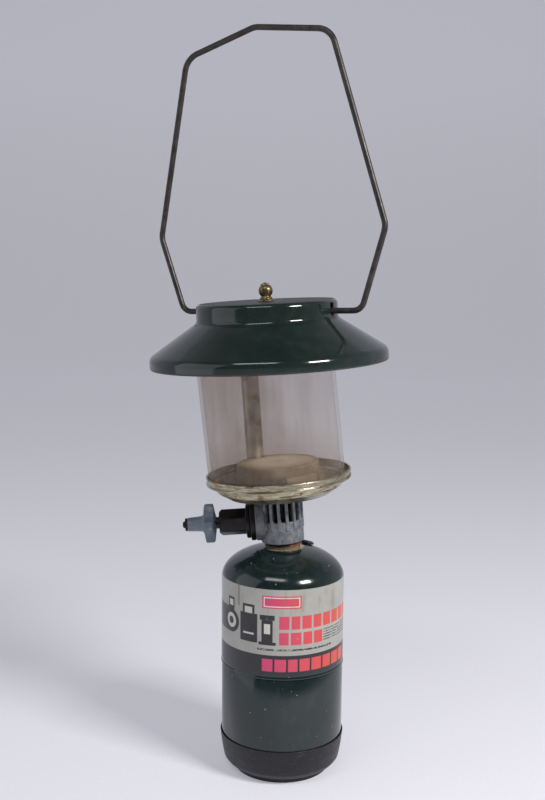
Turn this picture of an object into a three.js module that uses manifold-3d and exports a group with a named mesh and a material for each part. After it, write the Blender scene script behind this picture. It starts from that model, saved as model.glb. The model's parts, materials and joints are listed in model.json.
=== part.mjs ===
// A single-burner propane camping lantern standing on its screw-on fuel cylinder.
// Millimetres, +Z up. The origin is the middle of the cylinder's foot, and the control knob points to -X.
// The whole head leans a little towards -X, because the threaded neck sits crooked in the cylinder's dome.
import * as THREE from 'three';
import { mergeVertices } from 'three/addons/utils/BufferGeometryUtils.js';
import Module from 'manifold-3d';

const wasm = await Module();
wasm.setup();

// ---- Driving dimensions ----

const GAP = 0.3; // clearance left between neighbouring pieces
const ROUND = 36; // facets round a large turned piece

// Fuel cylinder, heights above the floor
const CYLINDER_R = 49.5;
const SHELL_WALL = 1.2;
const BOOT_TOP = 30.6;
const SEAM_HEIGHT = 89;
const SHOULDER_HEIGHT = 159.5;
const DOME_RISE = 25.3;
const BOTTOM_RISE = 26;
const SEAT = 186; // the neck's shoulder, where the leaning axis starts
const LEAN = THREE.MathUtils.degToRad(4.4);

// Neck and tank valve, heights above the seat
const NECK_R = 12.6;
const NECK_FLANGE_R = 14.8;
const NECK_TOP = 13;
const NECK_BORE_R = 5.5;
const THREAD_PITCH = 1.27;

// Lantern valve, heights above the seat
const VALVE_R = 17.3;
const VALVE_BOTTOM = 2.4;
const SOCKET_TOP = 20.5;
const VALVE_TOP = 38;
const FIN_COUNT = 17;
const FIN_THICKNESS = 2.5;
const FIN_R = 18.1;
const FIN_BOTTOM = 13.5;
const CONTROL_HEIGHT = 20;

// Control, distances from the head's axis along -X
const BOSS_R = 16.2;
const BOSS_END = 21;
const BONNET_START = 25.2;
const BONNET_END = 50;
const BONNET_ACROSS_FLATS = 19;
const FLANGE_R = 13.8;
const STEM_R = 2;
const KNOB_START = 53;
const KNOB_END = 75.8;
const KNOB_R = 16.2;

// Base plate, shield and globe, heights above the seat
const PLATE_FLOOR = 41.3;
const PLATE_WALL = 1;
const PLATE_INSIDE = PLATE_FLOOR + PLATE_WALL;
const PLATE_RIM_R = 58.2;
const PLATE_RIM_TOP = 59.2;
const SHIELD_R = 33;
const SHIELD_TOP = 67.2;
const GLOBE_R = 54.8;
const GLOBE_WALL = 2.6;
const GLOBE_BOTTOM = 53.7;
const GLOBE_TOP = 166;
const GLOBE_TILT = THREE.MathUtils.degToRad(2); // it stands a little crooked on its ledge
const GLOBE_SHIFT = 1.2;

// Burner, heights above the seat
const TUBE_R = 7.2;
const TUBE_WALL = 1;
const TUBE_X = -18.5;
const TUBE_Y = 26;
const TUBE_TOP = 148;
const ARM_HEIGHT = 158;
const DUCT_HEIGHT = 56;
const BURNER_BOTTOM = 138;
const BURNER_TOP = 147;
const CAP_R = 10.2;
const STUD_R = 2.3;

// Hood and bail, heights above the seat
const HOOD_WALL = 1.2;
const BRIM_R = 94.5;
const BRIM_BOTTOM = 146.3;
const CONE_BOTTOM = 155.4;
const COLLAR_R = 55.9;
const COLLAR_BOTTOM = 181;
const HOOD_TOP = 195.4;
const HOOD_TILT = THREE.MathUtils.degToRad(1.2); // it sits a little crooked on the stud
const BAIL_HEIGHT = 187.6;
const BAIL_TURN = THREE.MathUtils.degToRad(-25.7); // the hinge axis, turned about the upright
const BAIL_TILT = THREE.MathUtils.degToRad(1.9); // the hinge axis, raised towards +X
const BAIL_WIRE_R = 2.3;
const BAIL_BEND_R = 16;

// ---- Colours and finishes ----

const finishes = {
  greenPaint: { color: 0x1f2d2b, roughness: 0.3, metalness: 0.2 },
  enamel: { color: 0x1c2a26, roughness: 0.15, metalness: 0.1 },
  boot: { color: 0x28242c, roughness: 0.55, metalness: 0 },
  zinc: { color: 0x7f8184, roughness: 0.6, metalness: 0.8 },
  nickel: { color: 0xa39a7c, roughness: 0.35, metalness: 0.9 },
  shield: { color: 0xb5a68c, roughness: 0.7, metalness: 0.4 },
  glass: { color: 0xcfc6bc, roughness: 0.1, metalness: 0 },
  brass: { color: 0x9c7d4a, roughness: 0.35, metalness: 0.9 },
  blackened: { color: 0x2b2624, roughness: 0.5, metalness: 0.6 },
  knob: { color: 0x566473, roughness: 0.6, metalness: 0.1 },
  rubber: { color: 0x1b1b1b, roughness: 0.8, metalness: 0 },
  wire: { color: 0x5b554c, roughness: 0.4, metalness: 0.9 },
  steel: { color: 0x77736b, roughness: 0.4, metalness: 0.9 },
};

// ---- Shape helpers ----

// Points of an outline given as corners [x, y, radius]; a corner that has a radius is rounded off.
function rounded(corners, { closed = false, steps = 2 } = {}) {
  const points = corners.map(([x, y]) => new THREE.Vector2(x, y));
  return corners.flatMap(([, , radius = 0], i) => {
    const corner = points[i];
    const atEnd = i === 0 || i === points.length - 1;
    if (!radius || (atEnd && !closed)) return [corner];
    const before = points.at(i - 1).clone().sub(corner).normalize();
    const after = points[(i + 1) % points.length].clone().sub(corner).normalize();
    const reach = radius / Math.tan(before.angleTo(after) / 2);
    const start = corner.clone().addScaledVector(before, reach);
    const end = corner.clone().addScaledVector(after, reach);
    return new THREE.QuadraticBezierCurve(start, corner, end).getPoints(steps);
  });
}

// A solid of revolution about Z from an outline of [radius, height] points.
// An outline that doesn't run from axis to axis is closed on itself, which makes a ring.
function revolve(outline, segments = ROUND) {
  const points = outline.map((p) => (p.isVector2 ? p.clone() : new THREE.Vector2(p[0], p[1])));
  const ring = points[0].x > 0 || points.at(-1).x > 0;
  if (THREE.ShapeUtils.area(points) < 0) points.reverse();
  if (ring) points.push(points[0].clone());
  return new THREE.LatheGeometry(points, segments).rotateX(Math.PI / 2);
}

// A plain disc or, with a hole, a ring, between two heights.
function disc(radius, bottom, top, segments = 20, hole = 0) {
  return revolve([[hole, bottom], [radius, bottom], [radius, top], [hole, top]], segments);
}

// The outline of a circle, with an optional concentric hole.
function circle(radius, hole = 0) {
  const shape = new THREE.Shape().absarc(0, 0, radius, 0, 2 * Math.PI);
  if (hole) shape.holes.push(new THREE.Path().absarc(0, 0, hole, 0, 2 * Math.PI));
  return shape;
}

// A regular hexagon whose flats are the given distance apart.
function hexagon(acrossFlats, hole = 0) {
  const corner = (i) => new THREE.Vector2(1, 0).rotateAround(new THREE.Vector2(), (i * Math.PI) / 3);
  const radius = acrossFlats / Math.sqrt(3);
  const shape = new THREE.Shape([0, 1, 2, 3, 4, 5].map((i) => corner(i).multiplyScalar(radius)));
  if (hole) shape.holes.push(new THREE.Path().absarc(0, 0, hole, 0, 2 * Math.PI));
  return shape;
}

// A path through corners [x, y, z, radius], with the inner corners bent to their own or the given radius.
function bentPath(corners, usualRadius) {
  const points = corners.map(([x, y, z]) => new THREE.Vector3(x, y, z));
  const path = new THREE.CurvePath();
  let start = points[0];
  for (let i = 1; i < points.length - 1; i += 1) {
    const corner = points[i];
    const before = points[i - 1].clone().sub(corner).normalize();
    const after = points[i + 1].clone().sub(corner).normalize();
    const radius = corners[i][3] ?? usualRadius;
    const reach = radius / Math.tan(before.angleTo(after) / 2);
    const bendStart = corner.clone().addScaledVector(before, reach);
    const bendEnd = corner.clone().addScaledVector(after, reach);
    path.add(new THREE.LineCurve3(start, bendStart));
    path.add(new THREE.QuadraticBezierCurve3(bendStart, corner, bendEnd));
    start = bendEnd;
  }
  path.add(new THREE.LineCurve3(start, points.at(-1)));
  return path;
}

// A section swept along a path.
function sweep(section, path, steps, sides = 5) {
  return new THREE.ExtrudeGeometry(section, { extrudePath: path, steps, curveSegments: sides });
}

// A prism along Z between two heights.
function prism(section, bottom, top, sides = 12) {
  const settings = { depth: top - bottom, bevelEnabled: false, curveSegments: sides };
  return new THREE.ExtrudeGeometry(section, settings).translate(0, 0, bottom);
}

// Lays a shape built along +Z down, so that its height becomes distance along -X at the control's height.
function alongControl(geometry) {
  return geometry.rotateY(-Math.PI / 2).translate(0, 0, CONTROL_HEIGHT);
}

// A three.js geometry as a solid that can be joined and cut.
function solid(geometry) {
  const bare = geometry.index ? geometry.toNonIndexed() : geometry.clone();
  bare.deleteAttribute('normal');
  bare.deleteAttribute('uv');
  const merged = mergeVertices(bare);
  const vertProperties = merged.attributes.position.array;
  const triVerts = Uint32Array.from(merged.index.array);
  return new wasm.Manifold(new wasm.Mesh({ numProp: 3, vertProperties, triVerts }));
}

// A joined or cut solid as a three.js geometry.
function geometryOf(body) {
  const { vertProperties, triVerts } = body.getMesh();
  const geometry = new THREE.BufferGeometry();
  geometry.setAttribute('position', new THREE.BufferAttribute(Float32Array.from(vertProperties), 3));
  geometry.setIndex(new THREE.BufferAttribute(Uint32Array.from(triVerts), 1));
  return geometry;
}

// One body, cut by several tools.
function cut(body, ...tools) {
  return tools.reduce((rest, tool) => rest.subtract(solid(tool)), solid(body));
}

// One named piece with its own material.
function piece(name, shape, finish) {
  const geometry = shape.isBufferGeometry ? shape : geometryOf(shape);
  const mesh = new THREE.Mesh(geometry, new THREE.MeshStandardMaterial(finishes[finish]));
  mesh.name = name;
  return mesh;
}

// Copies of one tool spread evenly round the upright axis.
function around(count, makeTool, firstAngle = 0) {
  return Array.from({ length: count }, (_, i) => {
    const angle = firstAngle + (i * 2 * Math.PI) / count;
    return makeTool().rotateZ(angle);
  });
}

// ---- Fuel cylinder ----

// Points of a quarter ellipse that rises from the wall to the given smaller radius.
function domeCurve(radius, rise, base, endRadius, steps = 6) {
  const endAngle = Math.acos(endRadius / radius);
  const curve = new THREE.EllipseCurve(0, base, radius, rise, 0, endAngle);
  return curve.getPoints(steps);
}

const RELIEF_TURN = THREE.MathUtils.degToRad(41); // round the upright, from +X towards +Y
const RELIEF_R = 4.5;
const RELIEF_OFFSET = 25.5;
const RELIEF_TILT = THREE.MathUtils.degToRad(17);
const RELIEF_HEIGHT = 181.1; // the dome's surface under the relief valve

// Stands a relief valve part, built round its own axis, square on the dome.
function onRelief(geometry) {
  return geometry.rotateY(RELIEF_TILT).translate(RELIEF_OFFSET, 0, RELIEF_HEIGHT).rotateZ(RELIEF_TURN);
}

// The upper half, which overlaps the lower one at a rolled bead.
function upperShell() {
  const neckHole = NECK_R + 1;
  const beadR = CYLINDER_R + 0.5;
  const outer = domeCurve(CYLINDER_R, DOME_RISE, SHOULDER_HEIGHT, neckHole);
  const inner = domeCurve(CYLINDER_R - SHELL_WALL, DOME_RISE - SHELL_WALL, SHOULDER_HEIGHT, neckHole);
  const skirt = SEAM_HEIGHT + GAP;
  const outline = [
    [CYLINDER_R - SHELL_WALL, skirt], [beadR, skirt], [beadR, skirt + 1], [CYLINDER_R, skirt + 2.2],
    ...outer, ...inner.reverse(),
  ];
  return cut(revolve(outline), onRelief(disc(RELIEF_R + GAP, -5, 6, 16)));
}

// The lower half, with a round bottom and a narrowed edge inside the upper half.
function lowerShell() {
  const radius = CYLINDER_R - 0.2;
  const joggleR = CYLINDER_R - SHELL_WALL - 0.4;
  const base = BOTTOM_RISE + 5;
  const bottom = domeCurve(radius, -BOTTOM_RISE, base, 0).reverse();
  const bottomInside = domeCurve(radius - SHELL_WALL, SHELL_WALL - BOTTOM_RISE, base, 0);
  const outline = [
    ...bottom, [radius, SEAM_HEIGHT], [joggleR, SEAM_HEIGHT], [joggleR, SEAM_HEIGHT + 5],
    [joggleR - SHELL_WALL, SEAM_HEIGHT + 5], [joggleR - SHELL_WALL, SEAM_HEIGHT - 3],
    ...bottomInside,
  ];
  return revolve(outline);
}

// The moulded boot that lets the round-bottomed cylinder stand: a bowl on a narrower foot ring.
function boot() {
  const innerR = CYLINDER_R + 0.1;
  const outline = [
    [0, 0], [38.7, 0], [38.9, 3.2], [40.4, 3.6], [44.6, 6.3], [47.2, 9.6], [48.9, 18.7], [50.4, BOOT_TOP],
    [innerR, BOOT_TOP], [innerR, 24], [47.6, 18.2], [45.7, 10.2], [43.3, 7.4], [39.4, 4.9], [37.6, 4.2],
    [37.4, 2], [0, 2],
  ];
  return revolve(outline);
}

// The threaded collar, with a small shoulder that rests on the dome.
function neckCollar() {
  const threadStart = 2;
  const turns = Math.floor((NECK_TOP - threadStart) / THREAD_PITCH);
  const ridges = Array.from({ length: turns }, (_, i) => threadStart + i * THREAD_PITCH);
  const outline = [
    [NECK_BORE_R, -6], [NECK_R, -6], [NECK_R, -0.9], [NECK_FLANGE_R, -0.9], [NECK_FLANGE_R, 0.9], [13.2, 1.5],
    ...ridges.flatMap((z) => [[NECK_R - 0.7, z], [NECK_R, z + THREAD_PITCH / 2]]),
    [NECK_R - 0.7, NECK_TOP], [NECK_BORE_R, NECK_TOP],
  ];
  return revolve(outline, 20);
}

function tankValve() {
  const bodyR = NECK_BORE_R - GAP;
  return [
    piece('tank_valve_body', disc(bodyR, -5, 9, 16, 1.6), 'brass'),
    piece('tank_valve_pin', revolve([[0, -4], [1.2, -4], [1.2, 10.5], [0, 10.5]], 10), 'steel'),
    piece('tank_valve_seal', disc(bodyR, 9.3, 10.7, 16, 2.5), 'rubber'),
  ];
}

function fuelCylinder() {
  const reliefCap = rounded([[0, 0.4], [6, 0.4], [6, 1.9, 0.8], [4.4, 2.7], [0, 2.9]]);
  const group = new THREE.Group();
  group.add(
    piece('cylinder_boot', boot(), 'boot'),
    piece('cylinder_lower_shell', lowerShell(), 'greenPaint'),
    piece('cylinder_upper_shell', upperShell(), 'greenPaint'),
    piece('relief_valve_body', onRelief(disc(RELIEF_R, -5, 0.1, 16)), 'brass'),
    piece('relief_valve_cap', onRelief(revolve(reliefCap, 20)), 'boot'),
  );
  return group;
}

// ---- Lantern valve ----

const CHAMBER_R = 2.6;
const SPIGOT_R = 7.6;
const BASE_SCREW_Y = 8;
const NOZZLE_BOTTOM = 11;
const JET_BOTTOM = 33.3;
const JET_TOP = PLATE_INSIDE + 8.3;
const JET_THREAD_R = 3.2;
const BASE_SCREW_R = 1.5;

// The zinc casting: a threaded socket, a ring of cooling fins and a boss for the control.
function valveBody() {
  const coreR = 11;
  const finLength = FIN_R - coreR + 2;
  const finHeight = VALVE_TOP - FIN_BOTTOM - 1;
  const makeFin = () => new THREE.BoxGeometry(finLength, FIN_THICKNESS, finHeight)
    .translate(FIN_R - finLength / 2, 0, FIN_BOTTOM + finHeight / 2);
  let casting = solid(disc(VALVE_R, VALVE_BOTTOM, SOCKET_TOP, 36));
  casting = casting.add(solid(disc(coreR, SOCKET_TOP - 1, VALVE_TOP, 24)));
  casting = casting.add(solid(disc(FIN_R, VALVE_TOP - 2, VALVE_TOP, 36)));
  for (const fin of around(FIN_COUNT, makeFin, Math.PI / FIN_COUNT)) casting = casting.add(solid(fin));
  casting = casting.add(solid(alongControl(disc(10.5, 0, BOSS_END - 2, 24))));
  const ringOutline = rounded([[0, 9], [BOSS_R, 9, 1.2], [BOSS_R, BOSS_END, 1.2], [0, BOSS_END]]);
  casting = casting.add(solid(alongControl(revolve(ringOutline, 28))));

  const jetPassage = disc(1.2, -1, 20, 8).rotateY(Math.atan2(6, 18)).translate(-6, 0, CONTROL_HEIGHT);
  const screwHole = (side) => disc(BASE_SCREW_R + GAP, VALVE_TOP - 5, VALVE_TOP + 1, 8)
    .translate(0, side * BASE_SCREW_Y, 0);
  const tools = [
    disc(NECK_R + 0.5, VALVE_BOTTOM - 1, NOZZLE_BOTTOM, 28),
    disc(NECK_R + 0.5, NOZZLE_BOTTOM - 1, 15, 28, 4.6),
    disc(1.6, NOZZLE_BOTTOM - 1, CONTROL_HEIGHT, 8),
    alongControl(disc(SPIGOT_R + GAP, 13.8, BOSS_END + 1, 24)),
    alongControl(disc(CHAMBER_R, 4, 14.5, 12)),
    alongControl(disc(1, -3, 5, 8)),
    jetPassage,
    disc(JET_THREAD_R + GAP, JET_BOTTOM - GAP, VALVE_TOP + 1, 16),
    screwHole(1),
    screwHole(-1),
  ];
  return tools.reduce((rest, tool) => rest.subtract(solid(tool)), casting);
}

function valveInlet() {
  return [
    piece('inlet_seal', disc(9, NECK_TOP + GAP, 14.7, 20, 4.9), 'rubber'),
    piece('inlet_pin', disc(1.2, 11, 17, 8), 'brass'),
  ];
}

// The jet screws into the casting from above and clamps the base plate.
function gasJet() {
  const bore = 0.6;
  const hexBottom = PLATE_INSIDE + GAP;
  const outline = [
    [bore, JET_BOTTOM], [JET_THREAD_R, JET_BOTTOM], [JET_THREAD_R, hexBottom], [5, hexBottom],
    [5, hexBottom + 3.2], [2.2, hexBottom + 4.6], [2.2, JET_TOP], [bore, JET_TOP],
  ];
  return revolve(outline, 14);
}

// The hexagonal barrel that closes the casting's boss and guides the stem.
function bonnet() {
  const chamfer = 1.5;
  const cornerR = BONNET_ACROSS_FLATS / Math.sqrt(3);
  const envelope = [
    [0, BONNET_START], [cornerR, BONNET_START],
    [cornerR, BONNET_END - 2 * chamfer], [cornerR - 2 * chamfer, BONNET_END], [0, BONNET_END],
  ];
  const flangeEnd = BONNET_START + 3.2;
  const flatsUp = Math.PI / 2;
  const barrel = prism(hexagon(BONNET_ACROSS_FLATS), BONNET_START, BONNET_END).rotateZ(flatsUp);
  const shaped = solid(barrel).intersect(solid(revolve(envelope, 24)));
  const flange = solid(disc(FLANGE_R, BONNET_START, flangeEnd, 28));
  const spigot = solid(disc(SPIGOT_R, 14.2, BONNET_START + 1, 20));
  const body = shaped.add(flange).add(spigot);
  const tools = [
    disc(STEM_R + 0.4, 13, BONNET_END + 1, 12),
    disc(5.4, 13, 22, 16),
    disc(4.4, BONNET_END - 3, BONNET_END + 1, 16),
  ];
  const hollow = tools.reduce((rest, tool) => rest.subtract(solid(tool)), body);
  return alongControl(geometryOf(hollow));
}

function stem() {
  const outline = [
    [0, 4.5], [0.4, 4.5], [STEM_R, 11], [STEM_R, 15], [5, 15], [5, 19], [STEM_R, 19],
    [STEM_R, KNOB_END - 0.8], [1.6, KNOB_END - 0.8], [1.6, KNOB_END - 8], [0, KNOB_END - 8],
  ];
  return alongControl(revolve(outline, 14));
}

// The control knob: a slim hub outside that flares into four lobes next to the barrel.
function knob() {
  const hubR = 5.4;
  const rimEnd = KNOB_START + 8.6;
  const outline = rounded([
    [2.4, KNOB_START], [7, KNOB_START], [KNOB_R, KNOB_START + 1.6, 1], [KNOB_R, rimEnd, 1.2],
    [hubR + 0.9, rimEnd + 1.4, 2.6], [hubR, KNOB_END], [2.4, KNOB_END],
  ], { steps: 3 });
  const lobes = 4;
  const scallopR = 8.6;
  const scallopOffset = KNOB_R + 1.7;
  const scallop = () => disc(scallopR, KNOB_START - 1, KNOB_END + 1, 24).translate(scallopOffset, 0, 0);
  const shape = cut(revolve(outline, 32), ...around(lobes, scallop, Math.PI / lobes));
  return alongControl(geometryOf(shape));
}

function control() {
  const gasket = disc(BOSS_R - 0.3, BOSS_END + GAP, BONNET_START - GAP, 24, SPIGOT_R + GAP);
  const packingNut = disc(4.8, BONNET_END + GAP, KNOB_START - 0.5, 16, STEM_R + GAP);
  const seal = disc(4.1, BONNET_END - 2.7, BONNET_END - 0.2, 16, STEM_R + GAP);
  const washerEnd = KNOB_END + 2;
  const screw = [
    [0, KNOB_END - 6], [1.3, KNOB_END - 6], [1.3, washerEnd + GAP], [2.7, washerEnd + GAP],
    [2.7, washerEnd + 1.3], [1.8, washerEnd + 2], [0, washerEnd + 2.2],
  ];
  return [
    piece('bonnet_gasket', alongControl(gasket), 'blackened'),
    piece('valve_bonnet', bonnet(), 'blackened'),
    piece('packing_nut', alongControl(packingNut), 'steel'),
    piece('stem_seal', alongControl(seal), 'rubber'),
    piece('valve_stem', stem(), 'steel'),
    piece('control_knob', knob(), 'knob'),
    piece('knob_washer', alongControl(disc(5.2, KNOB_END + GAP, washerEnd, 16, 1.6)), 'blackened'),
    piece('knob_screw', alongControl(revolve(screw, 14)), 'steel'),
  ];
}

// ---- Base plate, shield and globe ----

const PLATE_HOLE_R = 3.6;

// The two holes that the base screws pass through, as cutting tools.
function baseScrewHoles(bottom, top) {
  const radius = BASE_SCREW_R + 0.4;
  return [1, -1].map((side) => disc(radius, bottom, top, 8).translate(0, side * BASE_SCREW_Y, 0));
}

// A spun dish: a flat floor, a stepped bowl, a ledge for the globe and a beaded rim.
function basePlate() {
  const wallR = PLATE_RIM_R - 0.7;
  const insideR = PLATE_RIM_R - 1.5;
  const ledge = GLOBE_BOTTOM - GAP;
  const outline = rounded([
    [PLATE_HOLE_R, PLATE_FLOOR], [42, PLATE_FLOOR], [50.4, PLATE_FLOOR + 5.5, 3], [51.8, ledge - 1.5],
    [PLATE_RIM_R, ledge - 1], [PLATE_RIM_R, ledge + 0.6], [wallR, ledge + 1.2],
    [wallR, PLATE_RIM_TOP - 2], [PLATE_RIM_R, PLATE_RIM_TOP - 1.6], [PLATE_RIM_R, PLATE_RIM_TOP],
    [insideR, PLATE_RIM_TOP], [insideR, ledge + 0.4], [insideR - 0.8, ledge], [50.9, ledge],
    [49.5, PLATE_FLOOR + 6.2, 2.4], [41.6, PLATE_INSIDE], [PLATE_HOLE_R, PLATE_INSIDE],
  ]);
  return cut(revolve(outline), ...baseScrewHoles(PLATE_FLOOR - 1, PLATE_INSIDE + 1));
}

function baseWasher() {
  const washer = disc(22.5, VALVE_TOP + GAP, PLATE_FLOOR - GAP, 32, PLATE_HOLE_R);
  return cut(washer, ...baseScrewHoles(VALVE_TOP - 1, PLATE_FLOOR + 1));
}

function baseScrew(side) {
  const head = PLATE_INSIDE + GAP;
  const tip = VALVE_TOP - 4;
  const outline = [
    [0, tip], [BASE_SCREW_R, tip], [BASE_SCREW_R, head], [2.9, head], [2.4, head + 1.8], [0, head + 2],
  ];
  return revolve(outline, 10).translate(0, side * BASE_SCREW_Y, 0);
}

// The legs stand clear of the mixing tube.
const SHIELD_LEG_TURNS = [-8, 88, 232].map(THREE.MathUtils.degToRad);

// The heat shield: a shallow inverted tray on three bent legs, notched where the mixing tube passes.
function heatShield() {
  const wall = 0.8;
  const skirt = SHIELD_TOP - 8;
  const tray = revolve(rounded([
    [0, SHIELD_TOP], [SHIELD_R, SHIELD_TOP, 1.4], [SHIELD_R, skirt], [SHIELD_R - wall, skirt],
    [SHIELD_R - wall, SHIELD_TOP - wall, 0.8], [0, SHIELD_TOP - wall],
  ]), 44);
  const legWidth = 8;
  const legThickness = 1.2;
  const legBottom = PLATE_INSIDE + GAP;
  const legHeight = SHIELD_TOP - 2 - legBottom;
  const upright = () => new THREE.BoxGeometry(legThickness, legWidth, legHeight)
    .translate(SHIELD_R - legThickness / 2, 0, legBottom + legHeight / 2);
  const foot = () => new THREE.BoxGeometry(6, legWidth, 1).translate(SHIELD_R + 1.8, 0, legBottom + 0.5);
  const passage = disc(TUBE_R + 0.8, PLATE_FLOOR, SHIELD_TOP + 2, 20).translate(TUBE_X, TUBE_Y, 0);
  let shield = solid(tray);
  for (const turn of SHIELD_LEG_TURNS) {
    shield = shield.add(solid(upright().rotateZ(turn))).add(solid(foot().rotateZ(turn)));
  }
  return shield.subtract(solid(passage));
}

function globe() {
  const inside = GLOBE_R - GLOBE_WALL;
  const outline = rounded([
    [inside, GLOBE_BOTTOM, 0.8], [GLOBE_R, GLOBE_BOTTOM, 0.8],
    [GLOBE_R, GLOBE_TOP, 0.8], [inside, GLOBE_TOP, 0.8],
  ], { closed: true, steps: 1 });
  return revolve(outline)
    .translate(GLOBE_R, 0, -GLOBE_BOTTOM)
    .rotateY(-GLOBE_TILT)
    .translate(-GLOBE_R - GLOBE_SHIFT, 0, GLOBE_BOTTOM);
}

function base() {
  return [
    piece('base_washer', baseWasher(), 'nickel'),
    piece('base_plate', basePlate(), 'nickel'),
    piece('base_screw_back', baseScrew(1), 'steel'),
    piece('base_screw_front', baseScrew(-1), 'steel'),
    piece('heat_shield', heatShield(), 'shield'),
    piece('globe', globe(), 'glass'),
  ];
}

// ---- Burner ----

// The lower elbow: it takes gas and air over the jet and leads them sideways to the mixing tube.
function mixingElbow() {
  const path = bentPath([
    [0, 0, JET_TOP - 2], [0, 0, DUCT_HEIGHT],
    [TUBE_X, TUBE_Y, DUCT_HEIGHT], [TUBE_X, TUBE_Y, SHIELD_TOP + 1.2],
  ], TUBE_R);
  const elbowR = TUBE_R - 0.3;
  return sweep(circle(elbowR, elbowR - TUBE_WALL), path, 18, 4);
}

function mixingTube() {
  return disc(TUBE_R, SHIELD_TOP + 1.5, TUBE_TOP, 20, TUBE_R - TUBE_WALL).translate(TUBE_X, TUBE_Y, 0);
}

// The upper return bend: it leads the mixture over to the middle and down into the burner.
function burnerArm() {
  const path = bentPath([
    [TUBE_X, TUBE_Y, TUBE_TOP + GAP], [TUBE_X, TUBE_Y, ARM_HEIGHT],
    [0, 0, ARM_HEIGHT], [0, 0, BURNER_TOP + GAP],
  ], 8);
  return sweep(circle(TUBE_R, TUBE_R - TUBE_WALL), path, 18, 4);
}

// The burner's cup: open below, with a groove round it that the mantle is tied in.
function burnerCap() {
  const mouthR = 7.2;
  const inletR = 5.2;
  const grooveR = CAP_R - 0.9;
  const insideR = grooveR - 1.2;
  const outline = [
    [mouthR, BURNER_BOTTOM], [CAP_R, BURNER_BOTTOM], [CAP_R, BURNER_BOTTOM + 2], [grooveR, BURNER_BOTTOM + 3],
    [CAP_R, BURNER_BOTTOM + 4], [CAP_R, BURNER_TOP - 1], [CAP_R - 1, BURNER_TOP], [inletR, BURNER_TOP],
    [inletR, BURNER_TOP - 2], [insideR, BURNER_TOP - 3], [insideR, BURNER_BOTTOM + 1],
    [mouthR, BURNER_BOTTOM + 1],
  ];
  return revolve(outline, 20);
}

// A perforated disc inside the cap that the mixture passes through.
function burnerScreen() {
  const holeR = 0.7;
  const shape = circle(7.8);
  const ringRadii = [0, 3.1, 5.9];
  for (const [ring, radius] of ringRadii.entries()) {
    const count = ring === 0 ? 1 : ring * 5;
    for (let i = 0; i < count; i += 1) {
      const angle = (i * 2 * Math.PI) / count;
      const [x, y] = [radius * Math.cos(angle), radius * Math.sin(angle)];
      shape.holes.push(new THREE.Path().absarc(x, y, holeR, 0, 2 * Math.PI));
    }
  }
  return prism(shape, BURNER_BOTTOM + 1.4, BURNER_BOTTOM + 2.2, 3);
}

const STUD_BOTTOM = ARM_HEIGHT + TUBE_R + GAP + 0.2;
const STUD_TOP = HOOD_TOP + 10.6;

function burner() {
  const flangeTop = STUD_BOTTOM + 2.4;
  const studOutline = [
    [0, STUD_BOTTOM], [5, STUD_BOTTOM], [5, flangeTop], [STUD_R, flangeTop], [STUD_R, STUD_TOP], [0, STUD_TOP],
  ];
  const restNut = prism(hexagon(9.5, STUD_R + GAP), HOOD_TOP - 5.8, HOOD_TOP - HOOD_WALL - GAP, 6);
  return [
    piece('mixing_elbow', mixingElbow(), 'steel'),
    piece('mixing_tube', mixingTube(), 'steel'),
    piece('burner_arm', burnerArm(), 'steel'),
    piece('burner_cap', burnerCap(), 'blackened'),
    piece('burner_screen', burnerScreen(), 'steel'),
    piece('hood_stud', revolve(studOutline, 14), 'steel'),
    piece('hood_rest_nut', restNut, 'steel'),
  ];
}

// ---- Hood, ball nut and bail ----

const SLOT_WIDTH = 6;
const SLOT_HEIGHT = 9.8;
const SLOT_MIDDLE = BAIL_HEIGHT + 0.5;

// A pressed hood: a flat top, an upright collar, a cone and a turned-down lip, with a slot at each bail end.
function hood() {
  const holeR = STUD_R + 0.5;
  const insideCollar = COLLAR_R - HOOD_WALL;
  const insideLip = BRIM_R - HOOD_WALL;
  const hem = 2.3;
  const outline = rounded([
    [holeR, HOOD_TOP], [COLLAR_R, HOOD_TOP, 3.8], [COLLAR_R, COLLAR_BOTTOM, 4],
    [BRIM_R, CONE_BOTTOM, 7], [BRIM_R, BRIM_BOTTOM + 1.2], [BRIM_R - 0.8, BRIM_BOTTOM],
    [BRIM_R - hem, BRIM_BOTTOM], [BRIM_R - hem, BRIM_BOTTOM + 2.3], [insideLip, BRIM_BOTTOM + 3],
    [insideLip, CONE_BOTTOM - 0.6, 6], [insideCollar, COLLAR_BOTTOM - 0.6, 4.6],
    [insideCollar, HOOD_TOP - HOOD_WALL], [holeR, HOOD_TOP - HOOD_WALL],
  ]);
  const slot = () => new THREE.BoxGeometry(12, SLOT_WIDTH, SLOT_HEIGHT).translate(COLLAR_R, 0, SLOT_MIDDLE);
  return cut(revolve(outline, 40), ...around(2, slot, BAIL_TURN))
    .translate([0, 0, -HOOD_TOP])
    .rotate([0, THREE.MathUtils.radToDeg(HOOD_TILT), 0])
    .translate([0, 0, HOOD_TOP]);
}

// A brass cap nut: a flared foot, a neck and a ball with a small tip.
function ballNut() {
  const bore = STUD_R + GAP;
  const foot = HOOD_TOP + 1.4;
  const ballR = 5.6;
  const ballCentre = foot + 6.8;
  const neckR = 3.9;
  const neckAngle = Math.acos(neckR / ballR);
  const ball = new THREE.EllipseCurve(0, ballCentre, ballR, ballR, -neckAngle, THREE.MathUtils.degToRad(72));
  const boreTop = STUD_TOP + 0.6;
  const outline = [
    [0, boreTop], [bore, boreTop], [bore, foot], [5, foot], [5, foot + 0.9], [neckR, foot + 2.2],
    ...ball.getPoints(9), [1.6, ballCentre + ballR + 0.8], [0, ballCentre + ballR + 1],
  ];
  return revolve(outline, 20);
}

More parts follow.
